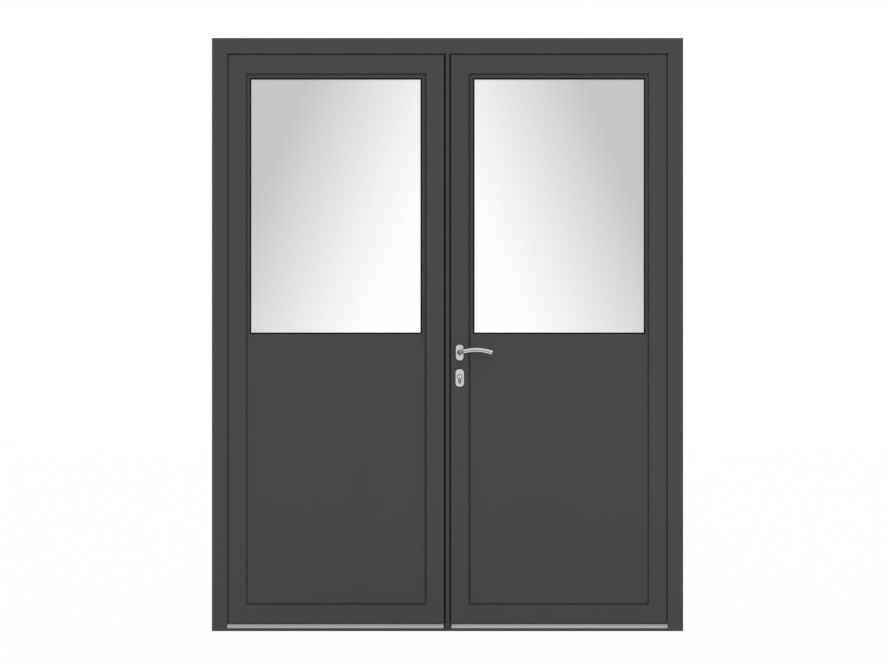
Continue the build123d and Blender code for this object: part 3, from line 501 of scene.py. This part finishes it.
def on_face(x, z, side, lift):
    """A point on the handle side: side is -1 outside and 1 inside, lift counts out from the leaf."""
    face = OUTSIDE if side < 0 else INSIDE
    return (x, face + side * lift, z)


# Handle plates: points round their outline, steps of the rounded rim, and rounding of the hole
PLATE_POINTS = 144
RIM_STEPS = 6
HOLE_EDGE = 0.5 * MM


def handle_plates(node, outline, hole, middle_z, thickness, edge):
    """A pair of plates, outside and inside, with rounded rims and a hole for what passes through."""
    shape = bmesh.new()
    angles = even_angles(PLATE_POINTS)
    for side in (-1, 1):
        def ring(radius_at, lift, grow=0.0):
            points = around(radius_at, angles, grow)
            return [on_face(LEVER_AXIS.x + u, middle_z + v, side, lift) for u, v in points]
        loops = [ring(outline, 0.0), ring(outline, thickness - edge)]
        for step in range(1, RIM_STEPS + 1):
            turn = radians(90) * step / RIM_STEPS
            loops.append(ring(outline, thickness - edge * (1 - sin(turn)), -edge * (1 - cos(turn))))
        loops += [ring(hole, thickness, HOLE_EDGE), ring(hole, thickness - HOLE_EDGE), ring(hole, 0.0)]
        loft(shape, loops, closed=True)
    return place(f"{node}_finished", outward(shape), BODY_OF[node], SLOT_OF[node], (node,))


# Lock cylinder: even points round it, and angles in degrees where its tail turns round and opposite
CYLINDER_POINTS = 160
TAIL_ANGLES = (76.3, 103.7, 256.3, 283.7)
TAIL_HALF = 5 * MM

# Its plugs and the bores they turn in
PLUG_RADIUS = 6.5 * MM
PLUG_BORE = 6.7 * MM
PLUG_DEPTH = 10 * MM
PLUG_EDGE = 0.4 * MM

# Keyway at the plug's face and at its bottom: half width, half height, corner, and drop below the middle
KEYWAY = (1.1 * MM, 4.0 * MM, 0.3 * MM, 1.6 * MM)
KEYWAY_BOTTOM = (0.1 * MM, 3.8 * MM, 0.1 * MM, 1.6 * MM)
KEYWAY_DEPTH = 9 * MM


def cylinder_pieces():
    """The profile cylinder: a pear-shaped body darkened as painted shade, with a plug made bright as a painted
    highlight and a keyway at each end.
    """
    low, high = CYLINDER_BOX
    body = pear(CYLINDER_RADIUS, TAIL_HALF, CYLINDER_Z - low[2])
    bore, plug = circle(PLUG_BORE), circle(PLUG_RADIUS)
    keyway, bottom = rounded_rectangle(*KEYWAY), rounded_rectangle(*KEYWAY_BOTTOM)
    angles = sorted(even_angles(CYLINDER_POINTS) + [radians(a) for a in TAIL_ANGLES])

    def ring(radius_at, y, grow=0.0):
        return [(LEVER_AXIS.x + u, y, CYLINDER_Z + v) for u, v in around(radius_at, angles, grow)]

    def body_end(y, inwards):
        """Loops from the bottom of the plug's bore out over the end face to the body's side."""
        rim, foot = y + inwards * PLUG_EDGE, y + inwards * 2 * PLUG_EDGE
        return [
            ring(bore, y + inwards * PLUG_DEPTH), ring(bore, foot), ring(bore, rim, PLUG_EDGE),
            ring(body, rim, -PLUG_EDGE), ring(body, foot),
        ]
    shape = bmesh.new()
    loft(shape, body_end(low[1], 1) + body_end(high[1], -1)[::-1])
    # The body's dark nickel is painted shade
    place("lock_cylinder_finished", outward(shape), "right_leaf", "satin_nickel", ("lock_cylinder",))
    shape = bmesh.new()
    for y, inwards in ((low[1], 1), (high[1], -1)):
        loft(shape, [
            ring(bottom, y + inwards * KEYWAY_DEPTH), ring(keyway, y + inwards * PLUG_EDGE / 2),
            ring(keyway, y, PLUG_EDGE / 2), ring(plug, y, -PLUG_EDGE), ring(plug, y + inwards * PLUG_EDGE),
            ring(plug, y + inwards * PLUG_DEPTH),
        ])
    # The plugs' bright nickel is a painted highlight
    place("lock_cylinder_plugs", outward(shape), "right_leaf", "satin_nickel", finishes=("cylinder_plug_highlight",))


# Course of a lever: lifts of the rings on its neck, radius of its bend, and steps in bend and grip
NECK_LIFTS = (6 * MM, 12 * MM, 20 * MM, 28 * MM)
LEVER_BEND = 14 * MM
BEND_STEPS = 12
GRIP_STEPS = 44

# Section of a lever: angles of its points, and power of the round neck and of the squarer grip
SECTION_ANGLES = range(-80, 81, 10)
NECK_POWER = 2
GRIP_POWER = 3.4

# Groove of a lever: height as a share of half the grip, points across it, and how it starts along X
GROOVE_LEVEL = -0.2
GROOVE_POINTS = (-1.0, -0.6, -0.3, 0.0, 0.3, 0.6, 1.0)
GROOVE_START = 2 * MM
GROOVE_RAMP = 6 * MM

# Rings that round the tip of a lever, in mm: how much smaller, and how far past the grip's end
TIP_RINGS = ((0.15, 0.5), (0.5, 0.85), (1.0, 1.0))


def lever_piece(node, side, sizes):
    """A lever swept from its round neck through a bend into an arched grip with a groove."""
    low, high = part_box(node)
    reach = high[0] - LEVER_AXIS.x
    neck_radius = LEVER_AXIS.x - low[0]
    half_depth, half_height = sizes.grip_depth / 2, sizes.grip_height / 2
    grip_lift = (OUTSIDE - low[1] if side < 0 else high[1] - INSIDE) - half_depth
    arch = sizes.grip_arch
    tip_lean = 4 * arch / reach
    run = reach - half_height * sin(tip_lean)
    radius = (run ** 2 / 4 + arch ** 2) / (2 * arch)

    def rise(x):
        return sqrt(radius ** 2 - (x - run / 2) ** 2) - radius + arch

    # Stations along the lever: place along X, lift from the leaf, and share of the way from neck to grip
    stations = [(0.0, lift, 0.0) for lift in NECK_LIFTS]
    for step in range(BEND_STEPS + 1):
        turn = radians(90) * step / BEND_STEPS
        lift = grip_lift - LEVER_BEND * (1 - sin(turn))
        stations.append((LEVER_BEND * (1 - cos(turn)), lift, step / BEND_STEPS))
    for step in range(1, GRIP_STEPS + 1):
        stations.append((LEVER_BEND + (run - LEVER_BEND) * step / GRIP_STEPS, grip_lift, 1.0))
    path = [
        Vector(on_face(LEVER_AXIS.x + x, LEVER_AXIS.z + rise(x), side, lift)) for x, lift, _ in stations
    ]
    groove_half = sizes.groove_width / 2 / half_height
    heights = sorted(
        [sin(radians(a)) for a in SECTION_ANGLES] + [GROOVE_LEVEL + groove_half * k for k in GROOVE_POINTS]
    )

    def section(index, shrink=0.0, push=0.0):
        x, _, share = stations[index]
        before, after = path[max(index - 1, 0)], path[min(index + 1, len(path) - 1)]
        along = (after - before).normalized()
        up = Vector((0, 0, 1))
        up = (up - along * up.dot(along)).normalized()
        front = along.cross(up) * -side
        if front.dot(Vector((0, side, 0))) < 0 and share == 1.0:
            front = -front
        ease = share * share * (3 - 2 * share)
        deep = neck_radius + (half_depth - neck_radius) * ease - shrink
        tall = neck_radius + (half_height - neck_radius) * ease - shrink
        power = NECK_POWER + (GRIP_POWER - NECK_POWER) * ease
        groove = sizes.groove_depth * min(max((x - GROOVE_START) / GROOVE_RAMP, 0.0), 1.0)
        middle = path[index] + along * push

        def width(u):
            return (1 - abs(u) ** power) ** (1 / power)
        ring = []
        for u in [-1.0] + heights + [1.0]:
            dip = groove * max(1 - abs(u - GROOVE_LEVEL) / groove_half, 0.0)
            ring.append(middle + front * (deep * width(u) - dip) + up * (tall * u))
        for u in reversed(heights):
            ring.append(middle - front * (deep * width(u)) + up * (tall * u))
        return ring
    last = len(path) - 1
    loops = [section(index) for index in range(len(path))]
    loops += [section(last, shrink * MM, push * MM) for shrink, push in TIP_RINGS]
    shape = bmesh.new()
    # Neck and bend take the darker steel, which is painted shade; the grip keeps the ground steel
    for band, (_, _, share) in zip(loft(shape, loops), stations):
        for face in band:
            face.material_index = int(share < 1.0)
    finishes = ("lever_grip", "lever_bend_shade")
    return place(f"{node}_finished", outward(shape), "lever", "satin_stainless", (node,), finishes)


class DOOR_OT_finishes(bpy.types.Operator):
    """Make every material and give it to the CAD nodes that use its slot"""
    bl_idname = "door.finishes"
    bl_label = "Finishes"

    def execute(self, context):
        FINISHES.update(make_finishes(context.scene.door_finishes))
        for node, slot in SLOT_OF.items():
            for entry in frame["nodes"][node].material_slots:
                entry.material = FINISHES[slot]
        return {"FINISHED"}


class DOOR_OT_extrusions(bpy.types.Operator):
    """Soften the corners of the frame and leaf extrusions, so that mitres show as hairlines"""
    bl_idname = "door.extrusions"
    bl_label = "Frame and leaf extrusions"

    def execute(self, context):
        radius = context.scene.door_sizes.extrusion_edge
        for node in ("left_jamb", "right_jamb", "head", "meeting_strip"):
            softened(node, radius)
        for hand in HANDS:
            for member in ("hinge_stile", "meeting_stile", "top_rail", "bottom_rail"):
                softened(f"{hand}_{member}", radius, outer=PANEL_OPENING)
        return {"FINISHED"}


class DOOR_OT_infill(bpy.types.Operator):
    """Soften the panels and the glazing beads round them"""
    bl_idname = "door.infill"
    bl_label = "Panels and beads"

    def execute(self, context):
        sizes = context.scene.door_sizes
        for hand in HANDS:
            softened(f"{hand}_panel", sizes.panel_edge, outer=WINDOW_OPENING)
            softened(f"{hand}_panel_beads", sizes.bead_edge, segments=3)
            softened(f"{hand}_window_beads", sizes.bead_edge, segments=3, inner=INNER_BEADS)
        return {"FINISHED"}


# Outline of the meeting seal in mm along X and Y: a foot on the strip, a lip that bears on the right leaf
SEAL_LIP = (
    (6.25, -34.0), (8.5, -34.2), (11.0, -34.3), (12.5, -34.2), (13.2, -33.9), (13.42, -33.5), (13.3, -33.0),
    (12.7, -32.6), (11.0, -32.6), (8.5, -32.8), (6.2, -32.6),
)

# Outline of the rubber bead on the floor of the groove beside the meeting strip, in mm along X and Y
GROOVE_BEAD = (
    (-13.25, -25.05), (-13.25, -26.6), (-12.4, -27.2), (-11.2, -26.7), (-9.8, -26.3), (-8.4, -26.7),
    (-7.2, -27.2), (-6.35, -26.6), (-6.35, -25.05),
)

# Plugs behind the ends of the meeting seal, in mm along X and Y, and how far they reach past and along it
SEAL_PLUG = ((6.2, -32.5), (13.0, -32.5), (12.9, -28.0), (6.1, -28.0))
SEAL_PLUG_REACH = (-0.6, 8.0)

# Blocks that close the ends of the meeting line, in mm along X and Y: coat in the middle, rubber beside it
END_CAP = ((-6.3, -35.3), (6.3, -35.3), (6.3, -28.0), (-6.3, -28.0))
HEAD_BLOCK = ((-13.3, -32.0), (20.0, -32.0), (20.0, -27.5), (-13.3, -27.5))
FOOT_BLOCK = ((-14.45, -35.15), (14.45, -35.15), (13.1, -27.5), (-13.1, -27.5))

# Seals along the head and the foot of the leaves, in mm along Y and up from the leaf's end
HEAD_SEAL = ((-28.0, 6.0), (-33.0, 6.0), (-33.4, 3.4), (-32.6, 1.6), (-31.0, 1.0), (-28.0, 1.0))
FOOT_SWEEP = ((-34.9, 0.0), (-34.9, -1.5), (-34.4, -2.3), (-33.2, -2.6), (-32.2, -2.1), (-32.0, 0.0))
SEAL_RUN = (14.5 * MM, 791 * MM)

# Rubber pads under the leaves' meeting corners, in mm along Y and up from the leaf's end, and their run
CORNER_PAD = ((-27.0, 0.0), (-27.0, -2.6), (-20.0, -2.6), (-20.0, 0.0))
PAD_RUN = (13.95 * MM, 24 * MM)

# Room between the leaves and the blocks at the ends of the meeting line
END_CLEARANCE = 0.8 * MM


class DOOR_OT_seals(bpy.types.Operator):
    """Round the seals of panels, glass and leaves, and close the ends of the meeting line"""
    bl_idname = "door.seals"
    bl_label = "Rubber seals"

    def execute(self, context):
        radius = context.scene.door_sizes.seal_edge
        aged = ("bloomed_rubber",)
        for hand in HANDS:
            softened(f"{hand}_panel_gaskets", radius, segments=3, finishes=aged, outer=PANEL_LIPS)
            softened(f"{hand}_window_gaskets", radius, segments=3, outer=WINDOW_LIPS, inner=INNER_LIPS)
        softened("frame_gasket", radius, segments=3)
        bottom, top = (corner[2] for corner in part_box("meeting_seal"))
        for name, outline, replaced in (
            ("meeting_seal_finished", SEAL_LIP, ("meeting_seal",)),
            ("meeting_groove_bead", GROOVE_BEAD, ()),
        ):
            shape = bmesh.new()
            upright(shape, outline, (bottom, top))
            place(name, outward(shape), "left_leaf", "black_rubber", replaced)
        shape = bmesh.new()
        for end, inwards in ((bottom, 1), (top, -1)):
            upright(shape, SEAL_PLUG, [end + inwards * reach * MM for reach in SEAL_PLUG_REACH])
        place("meeting_seal_plugs", outward(shape), "left_leaf", "black_rubber")
        foot = (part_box("threshold_keep")[0][2], bottom - END_CLEARANCE)
        head = (top + END_CLEARANCE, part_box("head")[0][2])
        for name, at_foot, at_head, slot, finishes in (
            ("meeting_end_caps", END_CAP, END_CAP, "anthracite_coat", ()),
            ("meeting_end_blocks", FOOT_BLOCK, HEAD_BLOCK, "black_rubber", aged),
        ):
            shape = bmesh.new()
            upright(shape, at_foot, foot)
            upright(shape, at_head, head)
            place(name, outward(shape), "frame", slot, finishes=finishes)
        head_seals = bmesh.new()
        for hand, side in HANDS.items():
            run = [side * x for x in SEAL_RUN]
            crosswise(head_seals, HEAD_SEAL, top, run)
            sweep = bmesh.new()
            crosswise(sweep, FOOT_SWEEP, bottom, run)
            place(f"{hand}_foot_sweep", outward(sweep), f"{hand}_leaf", "anthracite_coat")
            pad = bmesh.new()
            crosswise(pad, CORNER_PAD, bottom, [side * x for x in PAD_RUN])
            place(f"{hand}_corner_pad", outward(pad), f"{hand}_leaf", "black_rubber")
        place("head_seals", outward(head_seals), "frame", "black_rubber", finishes=aged)
        return {"FINISHED"}


class DOOR_OT_glazing(bpy.types.Operator):
    """Ground edges on the panes, which let the lamps through"""
    bl_idname = "door.glazing"
    bl_label = "Panes"

    def execute(self, context):
        for hand in HANDS:
            panes = softened(f"{hand}_glass_panes", context.scene.door_sizes.panel_edge, segments=1)
            panes.visible_shadow = False
        return {"FINISHED"}


# Threshold screws: plate under them, distance from the inner edge, shares of the length, and radius
THRESHOLD_PLATE = 2.5 * MM
THRESHOLD_SCREW_INSET = 5 * MM
THRESHOLD_SCREW_SHARES = (0.04, 0.22, 0.41, 0.59, 0.78, 0.96)
THRESHOLD_SCREW_RADIUS = 3.6 * MM


class DOOR_OT_threshold(bpy.types.Operator):
    """Soften the threshold and screw its rail down"""
    bl_idname = "door.threshold"
    bl_label = "Threshold"

    def execute(self, context):
        radius = context.scene.door_sizes.threshold_edge
        for node in ("threshold_rail", "threshold_keep", "threshold_base"):
            softened(node, radius)
        low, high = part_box("threshold_rail")
        y, z = high[1] - THRESHOLD_SCREW_INSET, low[2] + THRESHOLD_PLATE
        along = [low[0] + (high[0] - low[0]) * share for share in THRESHOLD_SCREW_SHARES]
        screws("threshold_screws", [((x, y, z), (0, 0, 1)) for x in along], "frame", THRESHOLD_SCREW_RADIUS)
        return {"FINISHED"}


# Hinges: half their height, plate, screws' distance from the pin and from the middle, and their radius
HINGE_HALF = 55 * MM
HINGE_PLATE = 3 * MM
HINGE_SCREW_OFFSET = 23 * MM
HINGE_SCREW_STEPS = (-38 * MM, 0.0, 38 * MM)
HINGE_SCREW_RADIUS = 4.2 * MM

# Caps on the hinge pins: points round them, and rings as radius and lift in mm
PIN_CAP_POINTS = 40
PIN_CAP = ((8.4, 0.0), (8.4, 1.2), (8.0, 2.2), (7.0, 3.0), (5.0, 3.6), (2.5, 3.9))


class DOOR_OT_hinges(bpy.types.Operator):
    """Soften the hinges, cap their pins and screw their plates on"""
    bl_idname = "door.hinges"
    bl_label = "Hinges"

    def execute(self, context):
        radius = context.scene.door_sizes.hinge_edge
        angles = even_angles(PIN_CAP_POINTS)
        for hand, side in HANDS.items():
            axis = next(j for j in frame["joints"] if j["name"] == f"{hand}_leaf_swing")["pos_m"]
            low, high = (corner[2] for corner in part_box(f"{hand}_hinge_frame_plates"))
            heights = [low + HINGE_HALF, (low + high) / 2, high - HINGE_HALF]
            for part, body, away in (("frame", "frame", side), ("leaf", f"{hand}_leaf", -side)):
                softened(f"{hand}_hinge_{part}_plates", radius)
                x, y = axis[0] + away * HINGE_SCREW_OFFSET, INSIDE + HINGE_PLATE
                spots = [((x, y, z + step), (0, 1, 0)) for z in heights for step in HINGE_SCREW_STEPS]
                screws(f"{hand}_hinge_{part}_screws", spots, body, HINGE_SCREW_RADIUS)
            shape = bmesh.new()
            for z in heights:
                for sign in (-1, 1):
                    loft(shape, [
                        [
                            (axis[0] + u, axis[1] + v, z + sign * (HINGE_HALF + lift * MM))
                            for u, v in around(circle(r * MM), angles)
                        ]
                        for r, lift in PIN_CAP
                    ])
            place(f"{hand}_hinge_caps", outward(shape), "frame", "black_polyamide")
        return {"FINISHED"}


# Caps over the wall screws: depth in the jamb, points round them, and rings as radius and lift in mm
WALL_CAP_INSET = 37 * MM
WALL_CAP_POINTS = 36
WALL_CAP = ((7.0, 0.0), (7.0, 0.3), (6.6, 0.6), (5.0, 0.75), (2.0, 0.8))

# Plugs in the ends of the meeting strip: outline in mm along X and Y, and how far in they start and end
STRIP_PLUG = ((-11.2, -22.8), (1.5, -22.8), (-0.8, 32.8), (-11.2, 32.8))
STRIP_PLUG_REACH = (0.4, 12.0)


class DOOR_OT_caps(bpy.types.Operator):
    """Cap the wall screws in the jambs and close the ends of the meeting strip"""
    bl_idname = "door.caps"
    bl_label = "Caps and plugs"

    def execute(self, context):
        angles = even_angles(WALL_CAP_POINTS)
        shape = bmesh.new()
        for mount in frame["record"]["mounts"]:
            if mount["kind"] != "bolt_pattern":
                continue
            x, y, middle = mount["pos_m"]
            side = 1 if x > 0 else -1
            rebate = x - side * WALL_CAP_INSET
            reach = mount["dims"]["spacing_y_mm"] * MM / 2
            for z in (middle - reach, middle + reach):
                loft(shape, [
                    [(rebate - side * lift * MM, y + u, z + v) for u, v in around(circle(r * MM), angles)]
                    for r, lift in WALL_CAP
                ])
        place("wall_screw_caps", outward(shape), "frame", "black_polyamide")
        low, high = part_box("meeting_strip")
        shape = bmesh.new()
        for end, inwards in ((low[2], 1), (high[2], -1)):
            upright(shape, STRIP_PLUG, [end + inwards * reach * MM for reach in STRIP_PLUG_REACH])
        place("meeting_strip_plugs", outward(shape), "left_leaf", "black_polyamide")
        return {"FINISHED"}


# Leaning edge faces under the screws of lock and strike: place along X, and outward direction
LOCK_FACE = (16.3 * MM, (-1, 0.1, 0))
STRIKE_FACE = (5.014 * MM, (1, 0.043, 0))

# Screws in those faces: place along Y, stand, radius, and distance from the ends or middles of the plates
EDGE_SCREW_Y = -5 * MM
EDGE_SCREW_STAND = 0.15 * MM
LOCK_SCREW_RADIUS = 3.4 * MM
LOCK_SCREW_INSET = 9 * MM
STRIKE_SCREW_INSET = 10 * MM
FLUSH_SCREW_RADIUS = 3.0 * MM
FLUSH_SCREW_STEPS = (-80 * MM, 80 * MM)
FLUSH_BOLT_HALF = 90 * MM


class DOOR_OT_lock(bpy.types.Operator):
    """Soften lock front, bolts, strike plate and flush bolts, and screw them on"""
    bl_idname = "door.lock"
    bl_label = "Lock and bolts"

    def execute(self, context):
        radius = context.scene.door_sizes.plate_edge
        for node in ("mortise_lock", "lock_bolts", "strike_plate", "flush_bolts"):
            softened(node, radius)
        for name, node, body, (face_x, lean), inset in (
            ("lock_screws", "mortise_lock", "right_leaf", LOCK_FACE, LOCK_SCREW_INSET),
            ("strike_screws", "strike_plate", "left_leaf", STRIKE_FACE, STRIKE_SCREW_INSET),
        ):
            low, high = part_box(node)
            spots = [((face_x, EDGE_SCREW_Y, z), lean) for z in (low[2] + inset, high[2] - inset)]
            screws(name, spots, body, LOCK_SCREW_RADIUS, EDGE_SCREW_STAND)
        low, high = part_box("flush_bolts")
        face_x, lean = STRIKE_FACE
        spots = [
            ((face_x, EDGE_SCREW_Y, middle + step), lean)
            for middle in (low[2] + FLUSH_BOLT_HALF, high[2] - FLUSH_BOLT_HALF)
            for step in FLUSH_SCREW_STEPS
        ]
        screws("flush_bolt_screws", spots, "left_leaf", FLUSH_SCREW_RADIUS, EDGE_SCREW_STAND)
        return {"FINISHED"}


# Handle plates: rounding of their outline, holes for neck and cylinder, and screws of the rosettes
PLATE_CORNER = 12.5 * MM
ROSETTE_HOLE = circle(8.8 * MM)
ESCUTCHEON_HOLE = pear(CYLINDER_RADIUS + 0.7 * MM, 5.7 * MM, 25.2 * MM)
ROSETTE_SCREW_STEPS = (-17.5 * MM, 17.5 * MM)
ROSETTE_SCREW_RADIUS = 3.0 * MM
ROSETTE_SCREW_STAND = 0.25 * MM


class DOOR_OT_handles(bpy.types.Operator):
    """Make the levers, their plates and the lock cylinder"""
    bl_idname = "door.handles"
    bl_label = "Handle set"

    def execute(self, context):
        sizes = context.scene.door_sizes
        lever_piece("outside_lever", -1, sizes)
        lever_piece("inside_lever", 1, sizes)
        for node, middle_z, hole in (
            ("rosettes", LEVER_AXIS.z, ROSETTE_HOLE), ("escutcheons", CYLINDER_Z, ESCUTCHEON_HOLE),
        ):
            low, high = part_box(node)
            half_width, half_height = (high[0] - low[0]) / 2, (high[2] - low[2]) / 2
            drop = middle_z - (high[2] + low[2]) / 2
            outline = rounded_rectangle(half_width, half_height, PLATE_CORNER, drop)
            handle_plates(node, outline, hole, middle_z, OUTSIDE - low[1], sizes.handle_plate_edge)
        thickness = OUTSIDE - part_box("rosettes")[0][1]
        spots = [
            (on_face(LEVER_AXIS.x, LEVER_AXIS.z + step, side, thickness), (0, side, 0))
            for side in (-1, 1) for step in ROSETTE_SCREW_STEPS
        ]
        screws("rosette_screws", spots, "right_leaf", ROSETTE_SCREW_RADIUS, ROSETTE_SCREW_STAND)
        cylinder_pieces()
        return {"FINISHED"}


# Lamps: their spread, then each one's name, way round the door, height, and share of the light on that side
LAMP_SPREAD = radians(18)
LAMPS = (
    ("Front fill", 0.0, radians(6), 0.6),
    ("Front key", 0.0, radians(30), 0.26),
    ("Front top", 0.0, radians(56), 0.14),
    ("Back fill", pi, radians(10), 0.5),
    ("Back key", pi, radians(32), 0.5),
    ("Left fill", -pi / 2, radians(12), 0.7),
    ("Right fill", pi / 2, radians(12), 0.7),
)

# Glow behind the glass: how fast it fades across and upwards, and where the fade begins
GLOW_ACROSS = 15.0
GLOW_UP = 6.45
GLOW_START = 0.505

# Half of the floor's width, and the share of it that is plain white to the eye while the rest takes shadow
FLOOR_HALF = 15.0
FLOOR_GLOW = 0.95

# Heights of view between which the mirrored walls turn to the ceiling
WALL_TOP = (0.3, 0.75)
WHITE = (1, 1, 1, 1)

# Sockets of a Mix node that mixes colours
MIX_SHARE, MIX_FROM, MIX_TO, MIX_RESULT = 0, 6, 7, 2


class DOOR_OT_stage(bpy.types.Operator):
    """Make the floor, lamps, surroundings and camera"""
    bl_idname = "door.stage"
    bl_label = "Stage"

    def execute(self, context):
        stage = context.scene.door_stage
        context.scene.view_settings.view_transform = "Standard"
        make_floor(stage)
        make_surroundings(context.scene, stage)
        for name, way, height, share in LAMPS:
            lamp = bpy.data.lights.new(name, "SUN")
            lamp.energy = pi * stage.lamp_share * share / cos(height)
            lamp.angle = LAMP_SPREAD
            holder = bpy.data.objects.new(name, lamp)
            holder.rotation_euler = (radians(90) - height, 0, way)
            holder.visible_glossy = False
            holder.visible_transmission = False
            context.scene.collection.objects.link(holder)
        camera = bpy.data.cameras.new("Camera")
        camera.lens = stage.lens
        distance = stage.picture_width * stage.lens / camera.sensor_width
        eye = bpy.data.objects.new("Camera", camera)
        eye.location = (-stage.camera_x, OUTSIDE - distance, stage.camera_z)
        eye.rotation_euler = (radians(90), 0, 0)
        context.scene.collection.objects.link(eye)
        context.scene.camera = eye
        return {"FINISHED"}


def make_floor(stage):
    """A pale floor that stays white to the eye and keeps a faint shadow of the door."""
    shape = bmesh.new()
    corners = [(x * FLOOR_HALF, y * FLOOR_HALF, 0) for x, y in ((-1, -1), (1, -1), (1, 1), (-1, 1))]
    shape.faces.new([shape.verts.new(corner) for corner in corners])
    mesh = bpy.data.meshes.new("Studio floor")
    shape.to_mesh(mesh)
    shape.free()
    floor = bpy.data.objects.new("Studio floor", mesh)
    bpy.context.scene.collection.objects.link(floor)
    # Painted studio floor: matt, white to camera and metal, and clear to glass, which shows the glow
    material = bpy.data.materials.new("Matt white studio paint")
    material.use_nodes = True
    tree = material.node_tree
    tree.nodes.clear()
    surface = add_node(tree, "ShaderNodeBsdfDiffuse", {"Color": opaque(stage.floor)}).outputs[0]
    rays = add_node(tree, "ShaderNodeLightPath").outputs
    white = add_node(tree, "ShaderNodeEmission", {"Color": WHITE, "Strength": 1.0}).outputs[0]
    clear = add_node(tree, "ShaderNodeBsdfTransparent").outputs[0]
    for kind, seen in (("Camera", white), ("Glossy", white), ("Transmission", clear)):
        share = add_node(
            tree, "ShaderNodeMath", {0: rays[f"Is {kind} Ray"], 1: FLOOR_GLOW}, operation="MULTIPLY"
        ).outputs[0]
        surface = add_node(tree, "ShaderNodeMixShader", {0: share, 1: surface, 2: seen}).outputs[0]
    add_node(tree, "ShaderNodeOutputMaterial", {"Surface": surface})
    mesh.materials.append(material)


def glow(tree, way, stage):
    """Colour of the glow behind the glass in a direction: white in the middle, fading out and up."""
    parts = add_node(tree, "ShaderNodeSeparateXYZ", {0: way}).outputs
    across = add_node(tree, "ShaderNodeMath", {0: parts["X"]}, operation="ABSOLUTE").outputs[0]
    side = add_node(tree, "ShaderNodeMath", {0: across, 1: GLOW_ACROSS}, operation="MULTIPLY").outputs[0]
    lean = add_node(
        tree, "ShaderNodeMath", {0: parts["Z"], 1: GLOW_UP, 2: side}, operation="MULTIPLY_ADD"
    ).outputs[0]
    fade = add_node(tree, "ShaderNodeMapRange", {
        "Value": lean, "From Min": GLOW_START, "From Max": GLOW_START + 1, "To Min": 0.0, "To Max": 1.0,
    }).outputs[0]
    return add_node(
        tree, "ShaderNodeMix", {MIX_SHARE: fade, MIX_FROM: WHITE, MIX_TO: opaque(stage.glow_edge)},
        data_type="RGBA"
    ).outputs[MIX_RESULT]


def make_surroundings(scene, stage):
    """White to the camera and to metal, plain light on the door, and a soft glow behind the glass."""
    world = bpy.data.worlds.new("Studio")
    scene.world = world
    world.use_nodes = True
    tree = world.node_tree
    tree.nodes.clear()
    rays = add_node(tree, "ShaderNodeLightPath").outputs
    way = add_node(tree, "ShaderNodeTexCoord").outputs["Generated"]
    parts = add_node(tree, "ShaderNodeSeparateXYZ", {0: way}).outputs
    # Metal mirrors white walls that turn grey towards the ceiling
    height = add_node(tree, "ShaderNodeMapRange", {
        "Value": parts["Z"], "From Min": WALL_TOP[0], "From Max": WALL_TOP[1], "To Min": 0.0, "To Max": 1.0,
    }).outputs[0]
    walls = add_node(
        tree, "ShaderNodeMix", {MIX_SHARE: height, MIX_FROM: WHITE, MIX_TO: opaque(stage.ceiling)},
        data_type="RGBA"
    ).outputs[MIX_RESULT]
    light = add_node(tree, "ShaderNodeBackground", {"Color": WHITE, "Strength": stage.surroundings})
    surface = light.outputs[0]
    for kind, colour in (("Camera", WHITE), ("Glossy", walls), ("Transmission", glow(tree, way, stage))):
        seen = add_node(tree, "ShaderNodeBackground", {"Color": colour, "Strength": 1.0}).outputs[0]
        surface = add_node(
            tree, "ShaderNodeMixShader", {0: rays[f"Is {kind} Ray"], 1: surface, 2: seen}
        ).outputs[0]
    add_node(tree, "ShaderNodeOutputWorld", {"Surface": surface})


STEPS = (
    DOOR_OT_finishes, DOOR_OT_extrusions, DOOR_OT_infill, DOOR_OT_seals, DOOR_OT_glazing, DOOR_OT_threshold,
    DOOR_OT_hinges, DOOR_OT_caps, DOOR_OT_lock, DOOR_OT_handles, DOOR_OT_stage,
)


class DOOR_PT_panel(bpy.types.Panel):
    """Lists the door's steps"""
    bl_idname = "DOOR_PT_panel"
    bl_label = "Service door"
    bl_space_type = "VIEW_3D"
    bl_region_type = "UI"
    bl_category = "Door"

    def draw(self, context):
        for step in STEPS:
            self.layout.operator(step.bl_idname)


GROUPS = {"door_finishes": DoorFinishes, "door_sizes": DoorSizes, "door_stage": DoorStage}


def register():
    for group in GROUPS.values():
        bpy.utils.register_class(group)
    for name, group in GROUPS.items():
        setattr(bpy.types.Scene, name, bpy.props.PointerProperty(type=group))
    for step in STEPS:
        bpy.utils.register_class(step)
    bpy.utils.register_class(DOOR_PT_panel)


def unregister():
    bpy.utils.unregister_class(DOOR_PT_panel)
    for step in reversed(STEPS):
        bpy.utils.unregister_class(step)
    for name, group in GROUPS.items():
        delattr(bpy.types.Scene, name)
        bpy.utils.unregister_class(group)


def main():
    register()
    bpy.ops.door.finishes()
    bpy.ops.door.extrusions()
    bpy.ops.door.infill()
    bpy.ops.door.seals()
    bpy.ops.door.glazing()
    bpy.ops.door.threshold()
    bpy.ops.door.hinges()
    bpy.ops.door.caps()
    bpy.ops.door.lock()
    bpy.ops.door.handles()
    bpy.ops.door.stage()


if __name__ == "__main__":
    main()
